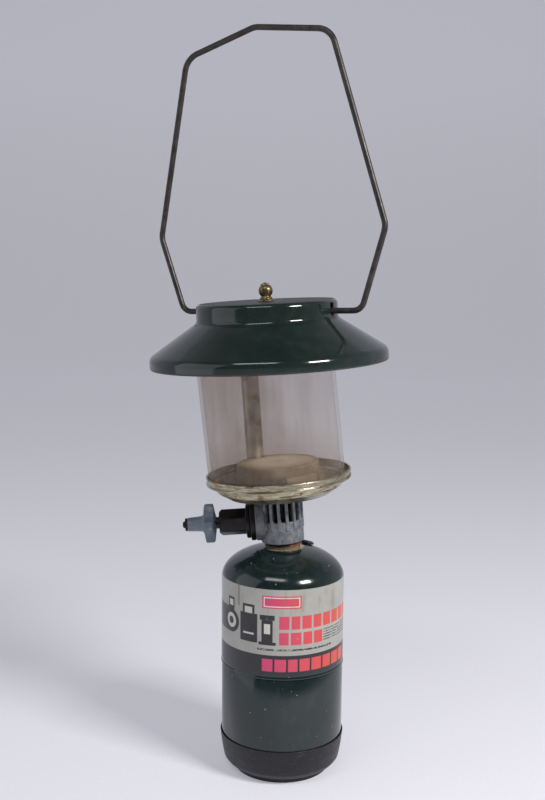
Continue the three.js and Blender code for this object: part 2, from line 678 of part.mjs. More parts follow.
// The bail's wire, in its own plane: x along the hinge axis, z up from it.
function bailWire() {
  const endBend = 9;
  const onHinge = (u, radius) => [u, 0, u * Math.tan(BAIL_TILT), radius];
  const path = bentPath([
    onHinge(44), onHinge(79.8, endBend), [98, 0, 66], [51.4, 0, 211], [-12.5, 0, 217.3],
    [-72.8, 0, 197.8], [-97, 0, 57], onHinge(-75.6, endBend), onHinge(-44),
  ], BAIL_BEND_R);
  return sweep(circle(BAIL_WIRE_R), path, 84, 4);
}

function hoodSet() {
  return [
    piece('hood', hood(), 'enamel'),
    piece('hood_washer', disc(7, HOOD_TOP + GAP, HOOD_TOP + 1.1, 20, STUD_R + GAP), 'steel'),
    piece('ball_nut', ballNut(), 'brass'),
  ];
}

// ---- Assembly ----

// Everything that shares the neck's leaning axis, built with the seat as its zero height.
const leaning = new THREE.Group();
leaning.position.z = SEAT;
leaning.rotation.y = -LEAN;
leaning.add(
  piece('neck_collar', neckCollar(), 'steel'),
  ...tankValve(),
  piece('valve_body', valveBody(), 'zinc'),
  ...valveInlet(),
  piece('gas_jet', gasJet(), 'brass'),
  ...control(),
  ...base(),
  ...burner(),
  ...hoodSet(),
);

// The bail passes through the hood's two slots, one a little higher than the other.
const bail = piece('bail_handle', bailWire(), 'wire');
bail.position.set(-BAIL_HEIGHT * Math.sin(LEAN), 0, SEAT + BAIL_HEIGHT * Math.cos(LEAN));
bail.rotation.z = BAIL_TURN;

const lantern = new THREE.Group();
lantern.add(fuelCylinder(), leaning, bail);

export default lantern;
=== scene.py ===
"""A propane camping lantern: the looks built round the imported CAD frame.

Shapes are written in millimetres. Pieces of the head are built upright, with the neck's seat at zero
height, and then placed along the head's leaning axis, which the frame's joints give.
"""
import json
import math

import bmesh
import bpy
from mathutils import Euler, Matrix, Vector


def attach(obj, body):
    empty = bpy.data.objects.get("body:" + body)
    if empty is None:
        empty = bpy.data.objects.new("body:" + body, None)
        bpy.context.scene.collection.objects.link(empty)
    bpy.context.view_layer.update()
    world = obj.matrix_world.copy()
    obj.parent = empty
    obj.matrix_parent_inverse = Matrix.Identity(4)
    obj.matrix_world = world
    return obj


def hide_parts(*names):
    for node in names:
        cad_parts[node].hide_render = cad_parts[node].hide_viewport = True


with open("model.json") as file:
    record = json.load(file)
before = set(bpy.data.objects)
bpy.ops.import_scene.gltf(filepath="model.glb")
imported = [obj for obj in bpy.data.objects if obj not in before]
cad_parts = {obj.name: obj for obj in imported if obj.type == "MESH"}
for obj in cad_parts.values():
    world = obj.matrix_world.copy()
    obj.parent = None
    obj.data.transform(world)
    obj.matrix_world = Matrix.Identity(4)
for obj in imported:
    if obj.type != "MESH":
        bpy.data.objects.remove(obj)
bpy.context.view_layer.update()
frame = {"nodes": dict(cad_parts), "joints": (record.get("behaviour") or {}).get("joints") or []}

MM = 0.001


# ---- Places taken from the frame ----

def joint(name):
    """The record's joint of that name."""
    return next(j for j in frame["joints"] if j["name"] == name)


SEAT = Vector(joint("head_turn")["pos_m"])
UP = Vector(joint("head_turn")["axis"]).normalized()
LEAN = Vector((0, 0, 1)).rotation_difference(UP)
UPRIGHT = Matrix.Identity(4)
LEANING = Matrix.Translation(SEAT) @ LEAN.to_matrix().to_4x4()

# Along the control: the piece's own +Z points out of the head, towards -X.
CONTROL_HEIGHT = 20
CONTROL = LEANING @ Matrix.Translation((0, 0, CONTROL_HEIGHT * MM)) @ Matrix.Rotation(-math.pi / 2, 4, "Y")

BAIL_PIVOT = Vector(joint("bail_swing")["pos_m"])
BAIL_AXIS = Vector(joint("bail_swing")["axis"]).normalized()
BAIL_TURN = math.atan2(BAIL_AXIS.y, BAIL_AXIS.x)
BAIL_SLOPE = BAIL_AXIS.z / BAIL_AXIS.xy.length
BAIL_PLANE = Matrix.Translation(BAIL_PIVOT) @ Matrix.Rotation(BAIL_TURN, 4, "Z")


# ---- Camera, floor and light ----

def add_camera():
    """A camera on a low stand in front of the lantern, a little above the middle of its height."""
    data = bpy.data.cameras.new("camera")
    data.sensor_fit = "HORIZONTAL"
    data.sensor_width = 36
    data.lens = 72.7
    camera = bpy.data.objects.new("camera", data)
    bpy.context.scene.collection.objects.link(camera)
    place = Matrix.Translation((0, -0.869, 0.4145))
    turn = Euler((math.radians(90 - 7.35), 0, math.radians(0.63))).to_matrix().to_4x4()
    camera.matrix_world = place @ turn @ Matrix.Rotation(math.radians(0.46), 4, "Z")
    bpy.context.scene.camera = camera


def add_area_light(name, direction, distance, size, power, colour):
    """A soft panel that faces the lantern from the given direction."""
    data = bpy.data.lights.new(name, "AREA")
    data.shape = "RECTANGLE"
    data.size, data.size_y = size
    data.energy = power
    data.color = colour
    light = bpy.data.objects.new(name, data)
    bpy.context.scene.collection.objects.link(light)
    target = Vector((0, 0, 0.28))
    light.location = target + Vector(direction).normalized() * distance
    light.rotation_euler = (target - light.location).to_track_quat("-Z", "Y").to_euler()


def add_world():
    """A room that the lantern reflects: pale low down behind it, dark overhead and behind the camera."""
    world = bpy.data.worlds.new("room")
    bpy.context.scene.world = world
    world.use_nodes = True
    tree = world.node_tree
    light = tree.nodes["Background"]
    axes = tree.nodes.new("ShaderNodeSeparateXYZ")
    tree.links.new(tree.nodes.new("ShaderNodeTexCoord").outputs["Generated"], axes.inputs[0])
    shares = []
    for axis, near, far in (("Y", -0.7, 0.6), ("Z", 0.95, 0.25)):
        share = tree.nodes.new("ShaderNodeMapRange")
        share.inputs["From Min"].default_value = near
        share.inputs["From Max"].default_value = far
        share.inputs["To Min"].default_value = 0.15
        tree.links.new(axes.outputs[axis], share.inputs["Value"])
        shares.append(share.outputs[0])
    product = tree.nodes.new("ShaderNodeMath")
    product.operation = "MULTIPLY"
    tree.links.new(shares[0], product.inputs[0])
    tree.links.new(shares[1], product.inputs[1])
    tree.links.new(product.outputs[0], light.inputs["Strength"])
    light.inputs["Color"].default_value = (0.5, 0.5, 0.55, 1)


def add_floor():
    """A plain pale floor that turns up into a backdrop far behind."""
    mesh = bpy.data.meshes.new("floor")
    reach, back, height, bend = 6.0, 4.0, 4.0, 1.2
    angles = [math.pi / 2 * i / 16 for i in range(17)]
    curve = [(back - bend + bend * math.sin(angle), bend - bend * math.cos(angle)) for angle in angles]
    profile = [(-reach, 0.0)] + curve + [(back, height)]
    verts = [(side * reach, y, z) for y, z in profile for side in (-1, 1)]
    faces = [(2 * i, 2 * i + 1, 2 * i + 3, 2 * i + 2) for i in range(len(profile) - 1)]
    mesh.from_pydata(verts, [], faces)
    mesh.polygons.foreach_set("use_smooth", [True] * len(faces))
    floor = bpy.data.objects.new("floor", mesh)
    bpy.context.scene.collection.objects.link(floor)
    look = Look("floor_cloth", roughness=0.9, glow=0.36)
    look.shader.inputs["Emission Color"].default_value = (0.78, 0.78, 0.86, 1)
    tint = look.ramp(look.noise(3, detail=2), [(0.3, (0.58, 0.58, 0.63)), (0.7, (0.61, 0.61, 0.66))])
    look.connect("Base Color", tint)
    mesh.materials.append(look.material)


# ---- Mesh tools ----

def rounded(corners, closed=False, steps=6):
    """Outline points from corners (x, y, radius); a corner that has a radius becomes an arc."""
    points = [Vector(c[:2]) for c in corners]
    outline = []
    for i, corner in enumerate(corners):
        at_end = i in (0, len(corners) - 1)
        if len(corner) < 3 or (at_end and not closed):
            outline.append(tuple(points[i]))
            continue
        before = (points[i - 1] - points[i]).normalized()
        after = (points[(i + 1) % len(points)] - points[i]).normalized()
        half = before.angle(after) / 2
        centre = points[i] + (before + after).normalized() * (corner[2] / math.sin(half))
        start = points[i] + before * (corner[2] / math.tan(half)) - centre
        turn = math.pi - 2 * half
        side = 1 if before.x * after.y - before.y * after.x < 0 else -1
        for k in range(steps + 1):
            angle = side * turn * k / steps
            spun = Matrix.Rotation(angle, 2) @ start
            outline.append(tuple(centre + spun))
    return outline


def finish_mesh(name, mesh, body, nodes, place, material, sharp=35):
    """Puts a mesh, built in millimetres, in its place as a piece that stands for the CAD nodes."""
    mesh.transform(place @ Matrix.Scale(MM, 4))
    tidy = bmesh.new()
    tidy.from_mesh(mesh)
    bmesh.ops.remove_doubles(tidy, verts=tidy.verts, dist=1e-7)
    bmesh.ops.dissolve_degenerate(tidy, edges=tidy.edges, dist=1e-7)
    bmesh.ops.recalc_face_normals(tidy, faces=tidy.faces)
    tidy.to_mesh(mesh)
    tidy.free()
    mesh.polygons.foreach_set("use_smooth", [True] * len(mesh.polygons))
    mesh.set_sharp_from_angle(angle=math.radians(sharp))
    piece = bpy.data.objects.new(name, mesh)
    bpy.context.scene.collection.objects.link(piece)
    mesh.materials.append(material)
    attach(piece, body)
    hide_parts(*nodes)
    return piece


def turned(outline, segments=128):
    """A mesh turned about Z from (radius, height) points; an outline off the axis closes on itself."""
    ring = outline[0][0] > 0 or outline[-1][0] > 0
    rows = [(r, z) for r, z in outline]
    verts, faces = [], []
    for r, z in rows:
        for k in range(segments):
            angle = 2 * math.pi * k / segments
            verts.append((r * math.cos(angle), r * math.sin(angle), z))
    last = len(rows) if ring else len(rows) - 1
    for i in range(last):
        j = (i + 1) % len(rows)
        for k in range(segments):
            n = (k + 1) % segments
            faces.append((i * segments + k, i * segments + n, j * segments + n, j * segments + k))
    mesh = bpy.data.meshes.new("turned")
    mesh.from_pydata(verts, [], faces)
    return mesh


def bent_path(corners, radii, steps=10):
    """Points along straight runs between corners, joined by arcs; radii is one radius or one per corner."""
    points = [Vector(c) for c in corners]
    if not isinstance(radii, list):
        radii = [radii] * len(points)
    path = [points[0]]
    for before, corner, after, radius in zip(points, points[1:], points[2:], radii[1:]):
        to_before, to_after = (before - corner).normalized(), (after - corner).normalized()
        half = to_before.angle(to_after) / 2
        centre = corner + (to_before + to_after).normalized() * (radius / math.sin(half))
        start = corner + to_before * (radius / math.tan(half)) - centre
        axis = to_after.cross(to_before)
        for k in range(steps + 1):
            path.append(centre + Matrix.Rotation((math.pi - 2 * half) * k / steps, 3, axis) @ start)
    path.append(points[-1])
    return path


def tube(path, sections, sides=24):
    """A mesh swept along a path; sections are (radius per point) lists, the outer wall first."""
    frames = []
    side = None
    for i, point in enumerate(path):
        ahead = path[min(i + 1, len(path) - 1)] - point
        behind = point - path[max(i - 1, 0)]
        along = (ahead.normalized() + behind.normalized()).normalized()
        if side is None:
            side = along.orthogonal().normalized()
        side = (side - along * side.dot(along)).normalized()
        frames.append((point, side, along.cross(side)))
    loops = [(frames[i], sections[0][i]) for i in range(len(path))]
    if len(sections) > 1:
        loops += [(frames[i], sections[1][i]) for i in reversed(range(len(path)))]
    verts, faces = [], []
    for (point, across, over), radius in loops:
        for k in range(sides):
            angle = 2 * math.pi * k / sides
            verts.append(point + across * (radius * math.cos(angle)) + over * (radius * math.sin(angle)))
    closed = len(sections) > 1
    for i in range(len(loops) if closed else len(loops) - 1):
        j = (i + 1) % len(loops)
        for k in range(sides):
            n = (k + 1) % sides
            faces.append((i * sides + k, i * sides + n, j * sides + n, j * sides + k))
    if not closed:
        faces.append(tuple(range(sides - 1, -1, -1)))
        faces.append(tuple(range((len(loops) - 1) * sides, len(loops) * sides)))
    mesh = bpy.data.meshes.new("tube")
    mesh.from_pydata(verts, [], faces)
    return mesh


def skin(stations, sides=96):
    """A mesh whose rings are stacked along Z and join up in a loop; a ring's radius is a number or a
    function of the angle."""
    verts, faces = [], []
    for height, radius in stations:
        for k in range(sides):
            angle = 2 * math.pi * k / sides
            r = radius(angle) if callable(radius) else radius
            verts.append((r * math.cos(angle), r * math.sin(angle), height))
    for i in range(len(stations)):
        j = (i + 1) % len(stations)
        for k in range(sides):
            n = (k + 1) % sides
            faces.append((i * sides + k, i * sides + n, j * sides + n, j * sides + k))
    mesh = bpy.data.meshes.new("skin")
    mesh.from_pydata(verts, [], faces)
    return mesh


def box_mesh(size, centre, turn=0.0):
    """A box of the given size, moved to its centre and then turned about Z."""
    mesh = bpy.data.meshes.new("box")
    shape = bmesh.new()
    bmesh.ops.create_cube(shape, size=1)
    place = Matrix.Rotation(turn, 4, "Z") @ Matrix.Translation(centre)
    shape.transform(place @ Matrix.Diagonal((*size, 1)))
    shape.to_mesh(mesh)
    shape.free()
    return mesh


def joined(meshes):
    """One mesh that holds several."""
    shape = bmesh.new()
    for mesh in meshes:
        shape.from_mesh(mesh)
        bpy.data.meshes.remove(mesh)
    mesh = bpy.data.meshes.new("joined")
    shape.to_mesh(mesh)
    shape.free()
    return mesh


def evaluated(mesh, *modifiers):
    """The mesh after modifiers, each (type, {setting: value}), in millimetres."""
    thing = bpy.data.objects.new("work", mesh)
    bpy.context.scene.collection.objects.link(thing)
    for kind, settings in modifiers:
        modifier = thing.modifiers.new(kind, kind)
        for key, value in settings.items():
            setattr(modifier, key, value)
    result = bpy.data.meshes.new_from_object(thing.evaluated_get(bpy.context.evaluated_depsgraph_get()))
    bpy.data.objects.remove(thing)
    return result


def carved(mesh, *cutters):
    """The mesh with the cutter meshes cut away."""
    for cutter in cutters:
        tool = bpy.data.objects.new("cutter", cutter)
        bpy.context.scene.collection.objects.link(tool)
        mesh = evaluated(mesh, ("BOOLEAN", {"object": tool, "operation": "DIFFERENCE", "solver": "EXACT"}))
        bpy.data.objects.remove(tool)
    return mesh


# ---- Material tools ----

def tone(code):
    """A colour written as six hex digits, as linear red, green and blue."""
    parts = [int(code[i:i + 2], 16) / 255 for i in (0, 2, 4)]
    return tuple(p / 12.92 if p <= 0.04045 else ((p + 0.055) / 1.055) ** 2.4 for p in parts)


SOCKETS = {
    "colour": "Base Color", "roughness": "Roughness", "metallic": "Metallic", "coat": "Coat Weight",
    "coat_roughness": "Coat Roughness", "ior": "IOR", "transmission": "Transmission Weight",
    "specular": "Specular IOR Level", "glow": "Emission Strength",
}


class Look:
    """One material: its shader, and short calls for the textures that feed it."""

    def __init__(self, name, **values):
        self.material = bpy.data.materials.new(name)
        self.material.use_nodes = True
        self.tree = self.material.node_tree
        self.shader = self.tree.nodes["Principled BSDF"]
        self.coordinates = self.tree.nodes.new("ShaderNodeTexCoord")
        self.place = self.coordinates.outputs["Object"]
        for key, value in values.items():
            self.shader.inputs[SOCKETS[key]].default_value = value

    def node(self, kind, inputs, **settings):
        """A node with its settings, and its inputs each linked or set."""
        node = self.tree.nodes.new(kind)
        for key, value in settings.items():
            setattr(node, key, value)
        for key, value in inputs.items():
            if isinstance(value, bpy.types.NodeSocket):
                self.tree.links.new(value, node.inputs[key])
            elif value is not None:
                node.inputs[key].default_value = value
        return node

    def lean(self):
        """Measures texture places in the leaning head's own frame from here on."""
        turn = LEANING.to_euler()
        inputs = {"Vector": self.place, "Location": SEAT, "Rotation": turn}
        self.place = self.node("ShaderNodeMapping", inputs, vector_type="TEXTURE").outputs[0]

    def axes(self):
        """The three coordinates, in millimetres."""
        parts = self.node("ShaderNodeSeparateXYZ", {0: self.place}).outputs
        return [self.math("MULTIPLY", part, 1000) for part in parts]

    def radius(self):
        """The distance from the upright axis, in millimetres."""
        x, y, _ = self.axes()
        return self.math("SQRT", self.math("ADD", self.math("MULTIPLY", x, x), self.math("MULTIPLY", y, y)))

    def facing(self):
        """How far the surface faces up, from -1 to 1, in the piece's own frame."""
        return self.node("ShaderNodeSeparateXYZ", {0: self.coordinates.outputs["Normal"]}).outputs[2]

    def distance_to(self, point):
        """The distance in millimetres from a point in the row frame."""
        inputs = {0: self.coordinates.outputs["Object"], 1: point}
        gap = self.node("ShaderNodeVectorMath", inputs, operation="DISTANCE").outputs["Value"]
        return self.math("MULTIPLY", gap, 1000)

    def noise(self, size, detail=3.0, stretch=(1, 1, 1), roughness=0.55, offset=0.0):
        """Cloudy noise from 0 to 1 whose patches are about size millimetres, longer where stretch is."""
        scale = [1000 / (size * s) for s in stretch]
        inputs = {"Vector": self.place, "Scale": scale, "Location": (offset, offset, offset)}
        spread = self.node("ShaderNodeMapping", inputs).outputs[0]
        inputs = {"Vector": spread, "Scale": 1.0, "Detail": detail, "Roughness": roughness}
        return self.node("ShaderNodeTexNoise", inputs).outputs["Fac"]

    def math(self, operation, a, b=None):
        return self.node("ShaderNodeMath", {0: a, 1: b}, operation=operation).outputs[0]

    def between(self, value, low, high, soft=0.15):
        """1 where a value lies between two limits, with soft edges."""
        rising = self.step(value, low, soft)
        falling = self.step(value, high, soft)
        return self.math("SUBTRACT", rising, falling)

    def step(self, value, edge, soft=0.15):
        """0 below an edge and 1 above it, with a soft change."""
        inputs = {"Value": value, "From Min": edge - soft, "From Max": edge + soft}
        return self.node("ShaderNodeMapRange", inputs, interpolation_type="SMOOTHSTEP").outputs[0]

    def below(self, value, edge, soft=0.15):
        """1 below an edge and 0 above it, with a soft change."""
        return self.math("SUBTRACT", 1.0, self.step(value, edge, soft))

    def both(self, *masks):
        result = masks[0]
        for mask in masks[1:]:
            result = self.math("MULTIPLY", result, mask)
        return result

    def either(self, *masks):
        result = masks[0]
        for mask in masks[1:]:
            result = self.math("MAXIMUM", result, mask)
        return result

    def ramp(self, value, stops):
        """A colour ramp from (position, colour) stops."""
        node = self.node("ShaderNodeValToRGB", {0: value})
        elements = node.color_ramp.elements
        while len(elements) < len(stops):
            elements.new(0.5)
        for element, (position, colour) in zip(elements, stops):
            element.position = position
            element.color = (*colour, 1)
        return node.outputs[0]

    def scaled(self, value, low, high):
        """A value from 0 to 1 as one from low to high."""
        return self.node("ShaderNodeMapRange", {"Value": value, "To Min": low, "To Max": high}).outputs[0]

    def mix(self, share, first, second):
        """The first colour, with the given share of the second."""
        node = self.tree.nodes.new("ShaderNodeMix")
        node.data_type = "RGBA"
        for socket, value in ((node.inputs[0], share), (node.inputs[6], first), (node.inputs[7], second)):
            if isinstance(value, bpy.types.NodeSocket):
                self.tree.links.new(value, socket)
            else:
                socket.default_value = value if isinstance(value, float) else (*value, 1)
        return node.outputs[2]

    def connect(self, socket, value):
        self.tree.links.new(value, self.shader.inputs[socket])

    def bump(self, height, depth, strength=1.0):
        """Raises the surface by up to depth millimetres where height is 1."""
        inputs = {"Height": height, "Distance": depth * MM, "Strength": strength}
        earlier = self.shader.inputs["Normal"].links
        if earlier:
            inputs["Normal"] = earlier[0].from_socket
        self.connect("Normal", self.node("ShaderNodeBump", inputs).outputs[0])


# ---- Materials ----

def enamel(slot_points, stud_point):
    """Dark green porcelain enamel: glossy, a little wavy, chipped and rusty round the bail's slots."""
    look = Look("hood_enamel", specular=0.6)
    look.lean()
    _, _, height = look.axes()
    cloud = look.noise(30, detail=4)
    base = look.ramp(cloud, [(0.25, tone("131e1b")), (0.6, tone("1a2724")), (0.85, tone("222f2d"))])
    grime = look.both(look.step(look.noise(9, detail=6), 0.56, 0.1), look.step(look.noise(60), 0.45, 0.12))
    base = look.mix(look.math("MULTIPLY", grime, 0.16), base, tone("3a3f3a"))
    rough_edge = look.scaled(look.noise(3.5, detail=5), -7.0, 7.0)
    chips = []
    for point, reach in slot_points:
        distance = look.math("ADD", look.distance_to(point), rough_edge)
        chips.append(look.below(distance, reach, 0.6))
    chipped = look.step(look.noise(4, detail=6, offset=7), 0.66, 0.03)
    lip = look.both(look.below(height, BRIM_BOTTOM + 1.5, 1.2), chipped)
    chips = look.either(lip, *chips)
    grain = look.noise(1.6, detail=5)
    rust = look.ramp(grain, [(0.3, tone("1d1511")), (0.55, tone("42301f")), (0.8, tone("7d6444"))])
    beneath = look.below(look.facing(), -0.12, 0.1)
    soot = look.ramp(look.noise(14, detail=6), [(0.3, tone("0f100f")), (0.7, tone("3a352e"))])
    base = look.mix(look.math("MULTIPLY", beneath, 0.7), base, soot)
    halo = look.below(look.math("ADD", look.distance_to(stud_point), rough_edge), 13, 4)
    base = look.mix(look.math("MULTIPLY", halo, 0.6), base, tone("7a5a3a"))
    look.connect("Base Color", look.mix(chips, base, rust))
    smear = look.scaled(look.noise(18, detail=5, stretch=(1, 1, 2.5)), 0.02, 0.2)
    dusty = look.math("MULTIPLY", look.step(look.facing(), 0.93, 0.05), 0.5)
    matt = look.either(look.math("MULTIPLY", chips, 0.8), look.math("MULTIPLY", beneath, 0.55))
    rough = look.either(smear, dusty, matt)
    look.connect("Roughness", rough)
    look.bump(look.noise(9, detail=1), 0.12, 0.3)
    look.bump(look.math("SUBTRACT", 1.0, chips), 0.2, 0.8)
    return look.material


LABEL_TOP = 161.5
LABEL_STRIPE = 109
LABEL_BOTTOM = 93.5


def printed_block(look, u, v, left, right, bottom, top):
    """A rectangle printed on the label."""
    return look.both(look.between(u, left, right), look.between(v, bottom, top))


def fine_print(look, u, v, left, right, bottom, top, pitch):
    """Rows of short dark dashes, as small print looks from a distance."""
    row = look.math("FRACT", look.math("DIVIDE", v, pitch))
    lines = look.between(row, 0.3, 0.72, 0.08)
    words = look.step(look.noise(2.1, detail=2, stretch=(1, 1, 0.35), offset=3), 0.44, 0.03)
    return look.both(lines, words, printed_block(look, u, v, left, right, bottom, top))


def spot(look, u, v, centre_u, centre_v, radius):
    """A round dot on the label."""
    across = look.math("SUBTRACT", u, centre_u)
    over = look.math("SUBTRACT", v, centre_v)
    away = look.math("ADD", look.math("MULTIPLY", across, across), look.math("MULTIPLY", over, over))
    return look.below(look.math("SQRT", away), radius, 0.2)


def bar_row(look, u, v, left, widths, bottom, top, gap=1.6):
    """Plain bars side by side."""
    bars = []
    for width in widths:
        bars.append(printed_block(look, u, v, left, left + width, bottom, top))
        left += width + gap
    return look.either(*bars)


def gear_signs(look, u, v):
    """Three plain signs for camping gear: a wheel, a bag and a lamp, as dark shapes with pale insides."""
    def block(*area):
        return printed_block(look, u, v, *area)

    dark = [
        spot(look, u, v, -47, 131, 9.5), block(-51, -43, 140, 150), block(-36, -20, 118, 141),
        block(-33.5, -22.5, 141, 148), block(-16.5, -7.5, 119, 137), block(-18, -6, 137, 141),
        block(-19, -5, 117, 119.5),
    ]
    pale = [
        spot(look, u, v, -47, 131, 6), block(-49.5, -44.5, 143, 148), block(-31.5, -24.5, 141, 146),
        block(-14.5, -9.5, 126, 134), block(-33, -23, 124, 125.5),
    ]
    hub = spot(look, u, v, -47, 131, 3)
    inside = look.either(*pale)
    return look.either(look.both(look.either(*dark), look.math("SUBTRACT", 1.0, inside)), hub), inside


def cylinder_print(look, u, v, paint):
    """A plain label: a silver band with coral bars and simple signs, over a black stripe."""
    silver = look.ramp(look.noise(20, detail=5), [(0.3, tone("9b9b95")), (0.7, tone("adaca5"))])
    hue = look.math("ADD", look.math("MULTIPLY", u, 0.011), look.scaled(look.noise(6, detail=3), 0.1, 0.5))
    coral = look.ramp(hue, [(0.1, tone("c93a70")), (0.45, tone("cf4350")), (0.9, tone("d04a30"))])
    ink = tone("1b181f")
    band = look.between(v, LABEL_STRIPE, LABEL_TOP, 0.12)
    stripe = look.between(v, LABEL_BOTTOM, LABEL_STRIPE, 0.12)
    colour = look.mix(band, paint, silver)
    colour = look.mix(stripe, colour, ink)
    side_band = look.both(look.below(u, -45, 0.3), look.between(v, 121.5, 141.5))
    colour = look.mix(side_band, colour, tone("26252b"))
    signs, insides = gear_signs(look, u, v)
    colour = look.mix(insides, colour, tone("c9c7bf"))

    tile = printed_block(look, u, v, -16, 15, 146.5, 156.5)
    red = look.either(
        tile,
        bar_row(look, u, v, -2.5, [8, 7, 8, 7.5, 8, 8.5, 7.5, 9], 130, 140.5),
        bar_row(look, u, v, -2.5, [7.5, 8.5, 7.5, 8], 117.5, 127.5),
        bar_row(look, u, v, -16, [8.5, 9, 7.5, 8.5, 9, 8.5, 9, 9], 96, 106),
    )
    colour = look.mix(red, colour, coral)
    edge_inside = printed_block(look, u, v, -14.8, 13.8, 147.6, 155.4)
    edge_middle = printed_block(look, u, v, -14.0, 13.0, 148.4, 154.6)
    colour = look.mix(look.math("SUBTRACT", edge_inside, edge_middle), colour, tone("d8d4cc"))
    small = [
        (35, 72, 117.5, 127.5, 2.1), (-20, 44, 110.6, 115.4, 3.6), (84, 150, 114, 156, 2.6),
        (-150, -84, 150, 159, 2.6),
    ]
    dark = [signs] + [fine_print(look, u, v, *area) for area in small]
    return look.mix(look.either(*dark), colour, ink), look.either(band, stripe)


def cylinder_paint(name, with_label):
    """Dark green paint with light scuffs; the upper shell also carries the label and rust at the neck."""
    look = Look(name, specular=0.5, coat=0.3, coat_roughness=0.04)
    x, y, z = look.axes()
    cloud = look.noise(40, detail=4)
    colour = look.ramp(cloud, [(0.3, tone("0e1a1a")), (0.7, tone("142525"))])
    dust_and_painted_light = look.both(look.step(look.noise(5, detail=8, stretch=(1, 1, 2)), 0.6, 0.16),
                     look.step(look.noise(45, offset=2), 0.46, 0.15))
    rough = look.scaled(look.noise(14, detail=6), 0.06, 0.26)
    if with_label:
        angle = look.math("ARCTAN2", x, look.math("MULTIPLY", y, -1))
        u = look.math("MULTIPLY", angle, CYLINDER_R)
        colour, printed = cylinder_print(look, u, z, colour)
        rough = look.either(rough, look.math("MULTIPLY", printed, 0.36))
        wobble = look.scaled(look.noise(4, detail=4), -2, 2)
        ring = look.math("ADD", look.radius(), wobble)
        rust_mask = look.both(look.below(ring, NECK_FLANGE_R + 1.8, 1.2), look.step(z, 178))
        rust = look.ramp(look.noise(1.5, detail=5), [(0.3, tone("6b5a40")), (0.7, tone("b3a587"))])
        colour = look.mix(rust_mask, colour, rust)
        drip = look.both(printed_block(look, u, z, -39, -36.5, 145, 161.5), look.step(cloud, 0.3, 0.1))
        colour = look.mix(look.math("MULTIPLY", drip, 0.6), colour, tone("7a6244"))
        runs = look.step(look.noise(9, detail=6, stretch=(0.6, 0.6, 3)), 0.6, 0.1)
        stain = look.both(look.between(z, 140, 160, 6), runs)
        colour = look.mix(look.math("MULTIPLY", stain, 0.35), colour, tone("7a6542"))
    colour = look.mix(look.math("MULTIPLY", dust_and_painted_light, 0.06), colour, tone("6f7672"))
    scratch = look.step(look.noise(1.2, detail=6, stretch=(1, 1, 14), offset=5), 0.72, 0.02)
    colour = look.mix(look.math("MULTIPLY", scratch, 0.3), colour, tone("7c8480"))
    nick = look.step(look.noise(2.2, detail=1, offset=15), 0.79, 0.01)
    colour = look.mix(nick, colour, tone("a9b0ae"))
    look.connect("Base Color", colour)
    look.connect("Roughness", rough)
    look.bump(look.noise(8, detail=1), 0.04, 0.3)
    look.bump(scratch, -0.04, 0.5)
    return look.material


def moulded(name, dark, light, roughness=0.5, scuff="6a6470", lean=True, scuffs=0.4):
    """Moulded plastic: a fine pebbled skin, cloudy tone and pale scuffs."""
    look = Look(name, specular=0.45)
    if lean:
        look.lean()
    colour = look.ramp(look.noise(12, detail=5), [(0.3, tone(dark)), (0.7, tone(light))])
    scuffed = look.step(look.noise(2.6, detail=8, stretch=(2.5, 1, 1)), 0.62, 0.08)
    colour = look.mix(look.math("MULTIPLY", scuffed, scuffs), colour, tone(scuff))
    look.connect("Base Color", colour)
    look.connect("Roughness", look.scaled(look.noise(5, detail=5), roughness - 0.12, roughness + 0.15))
    look.bump(look.noise(0.7, detail=2), 0.04, 0.5)
    look.bump(look.noise(5, detail=3), 0.1, 0.3)
    return look.material


def zinc_casting():
    """Oxidised cast zinc: mottled grey, with painted shade, near black, in the pockets between the fins."""
    look = Look("zinc_casting", metallic=0.45, specular=0.45)
    look.lean()
    mottled = look.noise(4, detail=7, roughness=0.65)
    colour = look.ramp(mottled, [(0.25, tone("4a4d54")), (0.5, tone("767a80")), (0.8, tone("989b9e"))])
    _, _, height = look.axes()
    # Painted shade: the pockets between the fins are darkened nearly to black.
    pocket_shade = look.both(look.below(look.radius(), 15.8, 1.6), look.between(height, 19, 37.6, 1.2))
    colour = look.mix(look.math("MULTIPLY", pocket_shade, 0.9), colour, tone("15191b"))
    stain = look.step(look.noise(7, detail=5, offset=4), 0.6, 0.08)
    colour = look.mix(look.math("MULTIPLY", stain, 0.3), colour, tone("6b6250"))
    look.connect("Base Color", colour)
    look.connect("Roughness", look.scaled(mottled, 0.42, 0.72))
    look.bump(look.noise(0.8, detail=4), 0.08, 0.6)
    look.bump(mottled, 0.15, 0.4)
    return look.material


def neck_steel():
    """The collar: a pale bare flange, and threads dark with old grease and patches of orange rust."""
    look = Look("neck_steel", metallic=0.6)
    look.lean()
    side, _, height = look.axes()
    grain = look.noise(2, detail=6)
    pale = look.ramp(grain, [(0.3, tone("8f8468")), (0.7, tone("c2b898"))])
    grease = look.ramp(grain, [(0.3, tone("1c1916")), (0.7, tone("3b342b"))])
    colour = look.mix(look.step(height, -0.5, 0.25), pale, grease)
    patch = look.either(look.step(look.noise(9, detail=3, offset=2), 0.6, 0.06), look.step(side, 6, 2))
    rust = look.both(patch, look.step(height, -0.6, 0.3))
    orange = look.ramp(grain, [(0.3, tone("6b2f14")), (0.7, tone("a8693a"))])
    colour = look.mix(look.math("MULTIPLY", rust, 0.85), colour, orange)
    look.connect("Base Color", colour)
    look.connect("Roughness", look.scaled(grain, 0.35, 0.7))
    look.bump(grain, 0.05, 0.5)
    return look.material


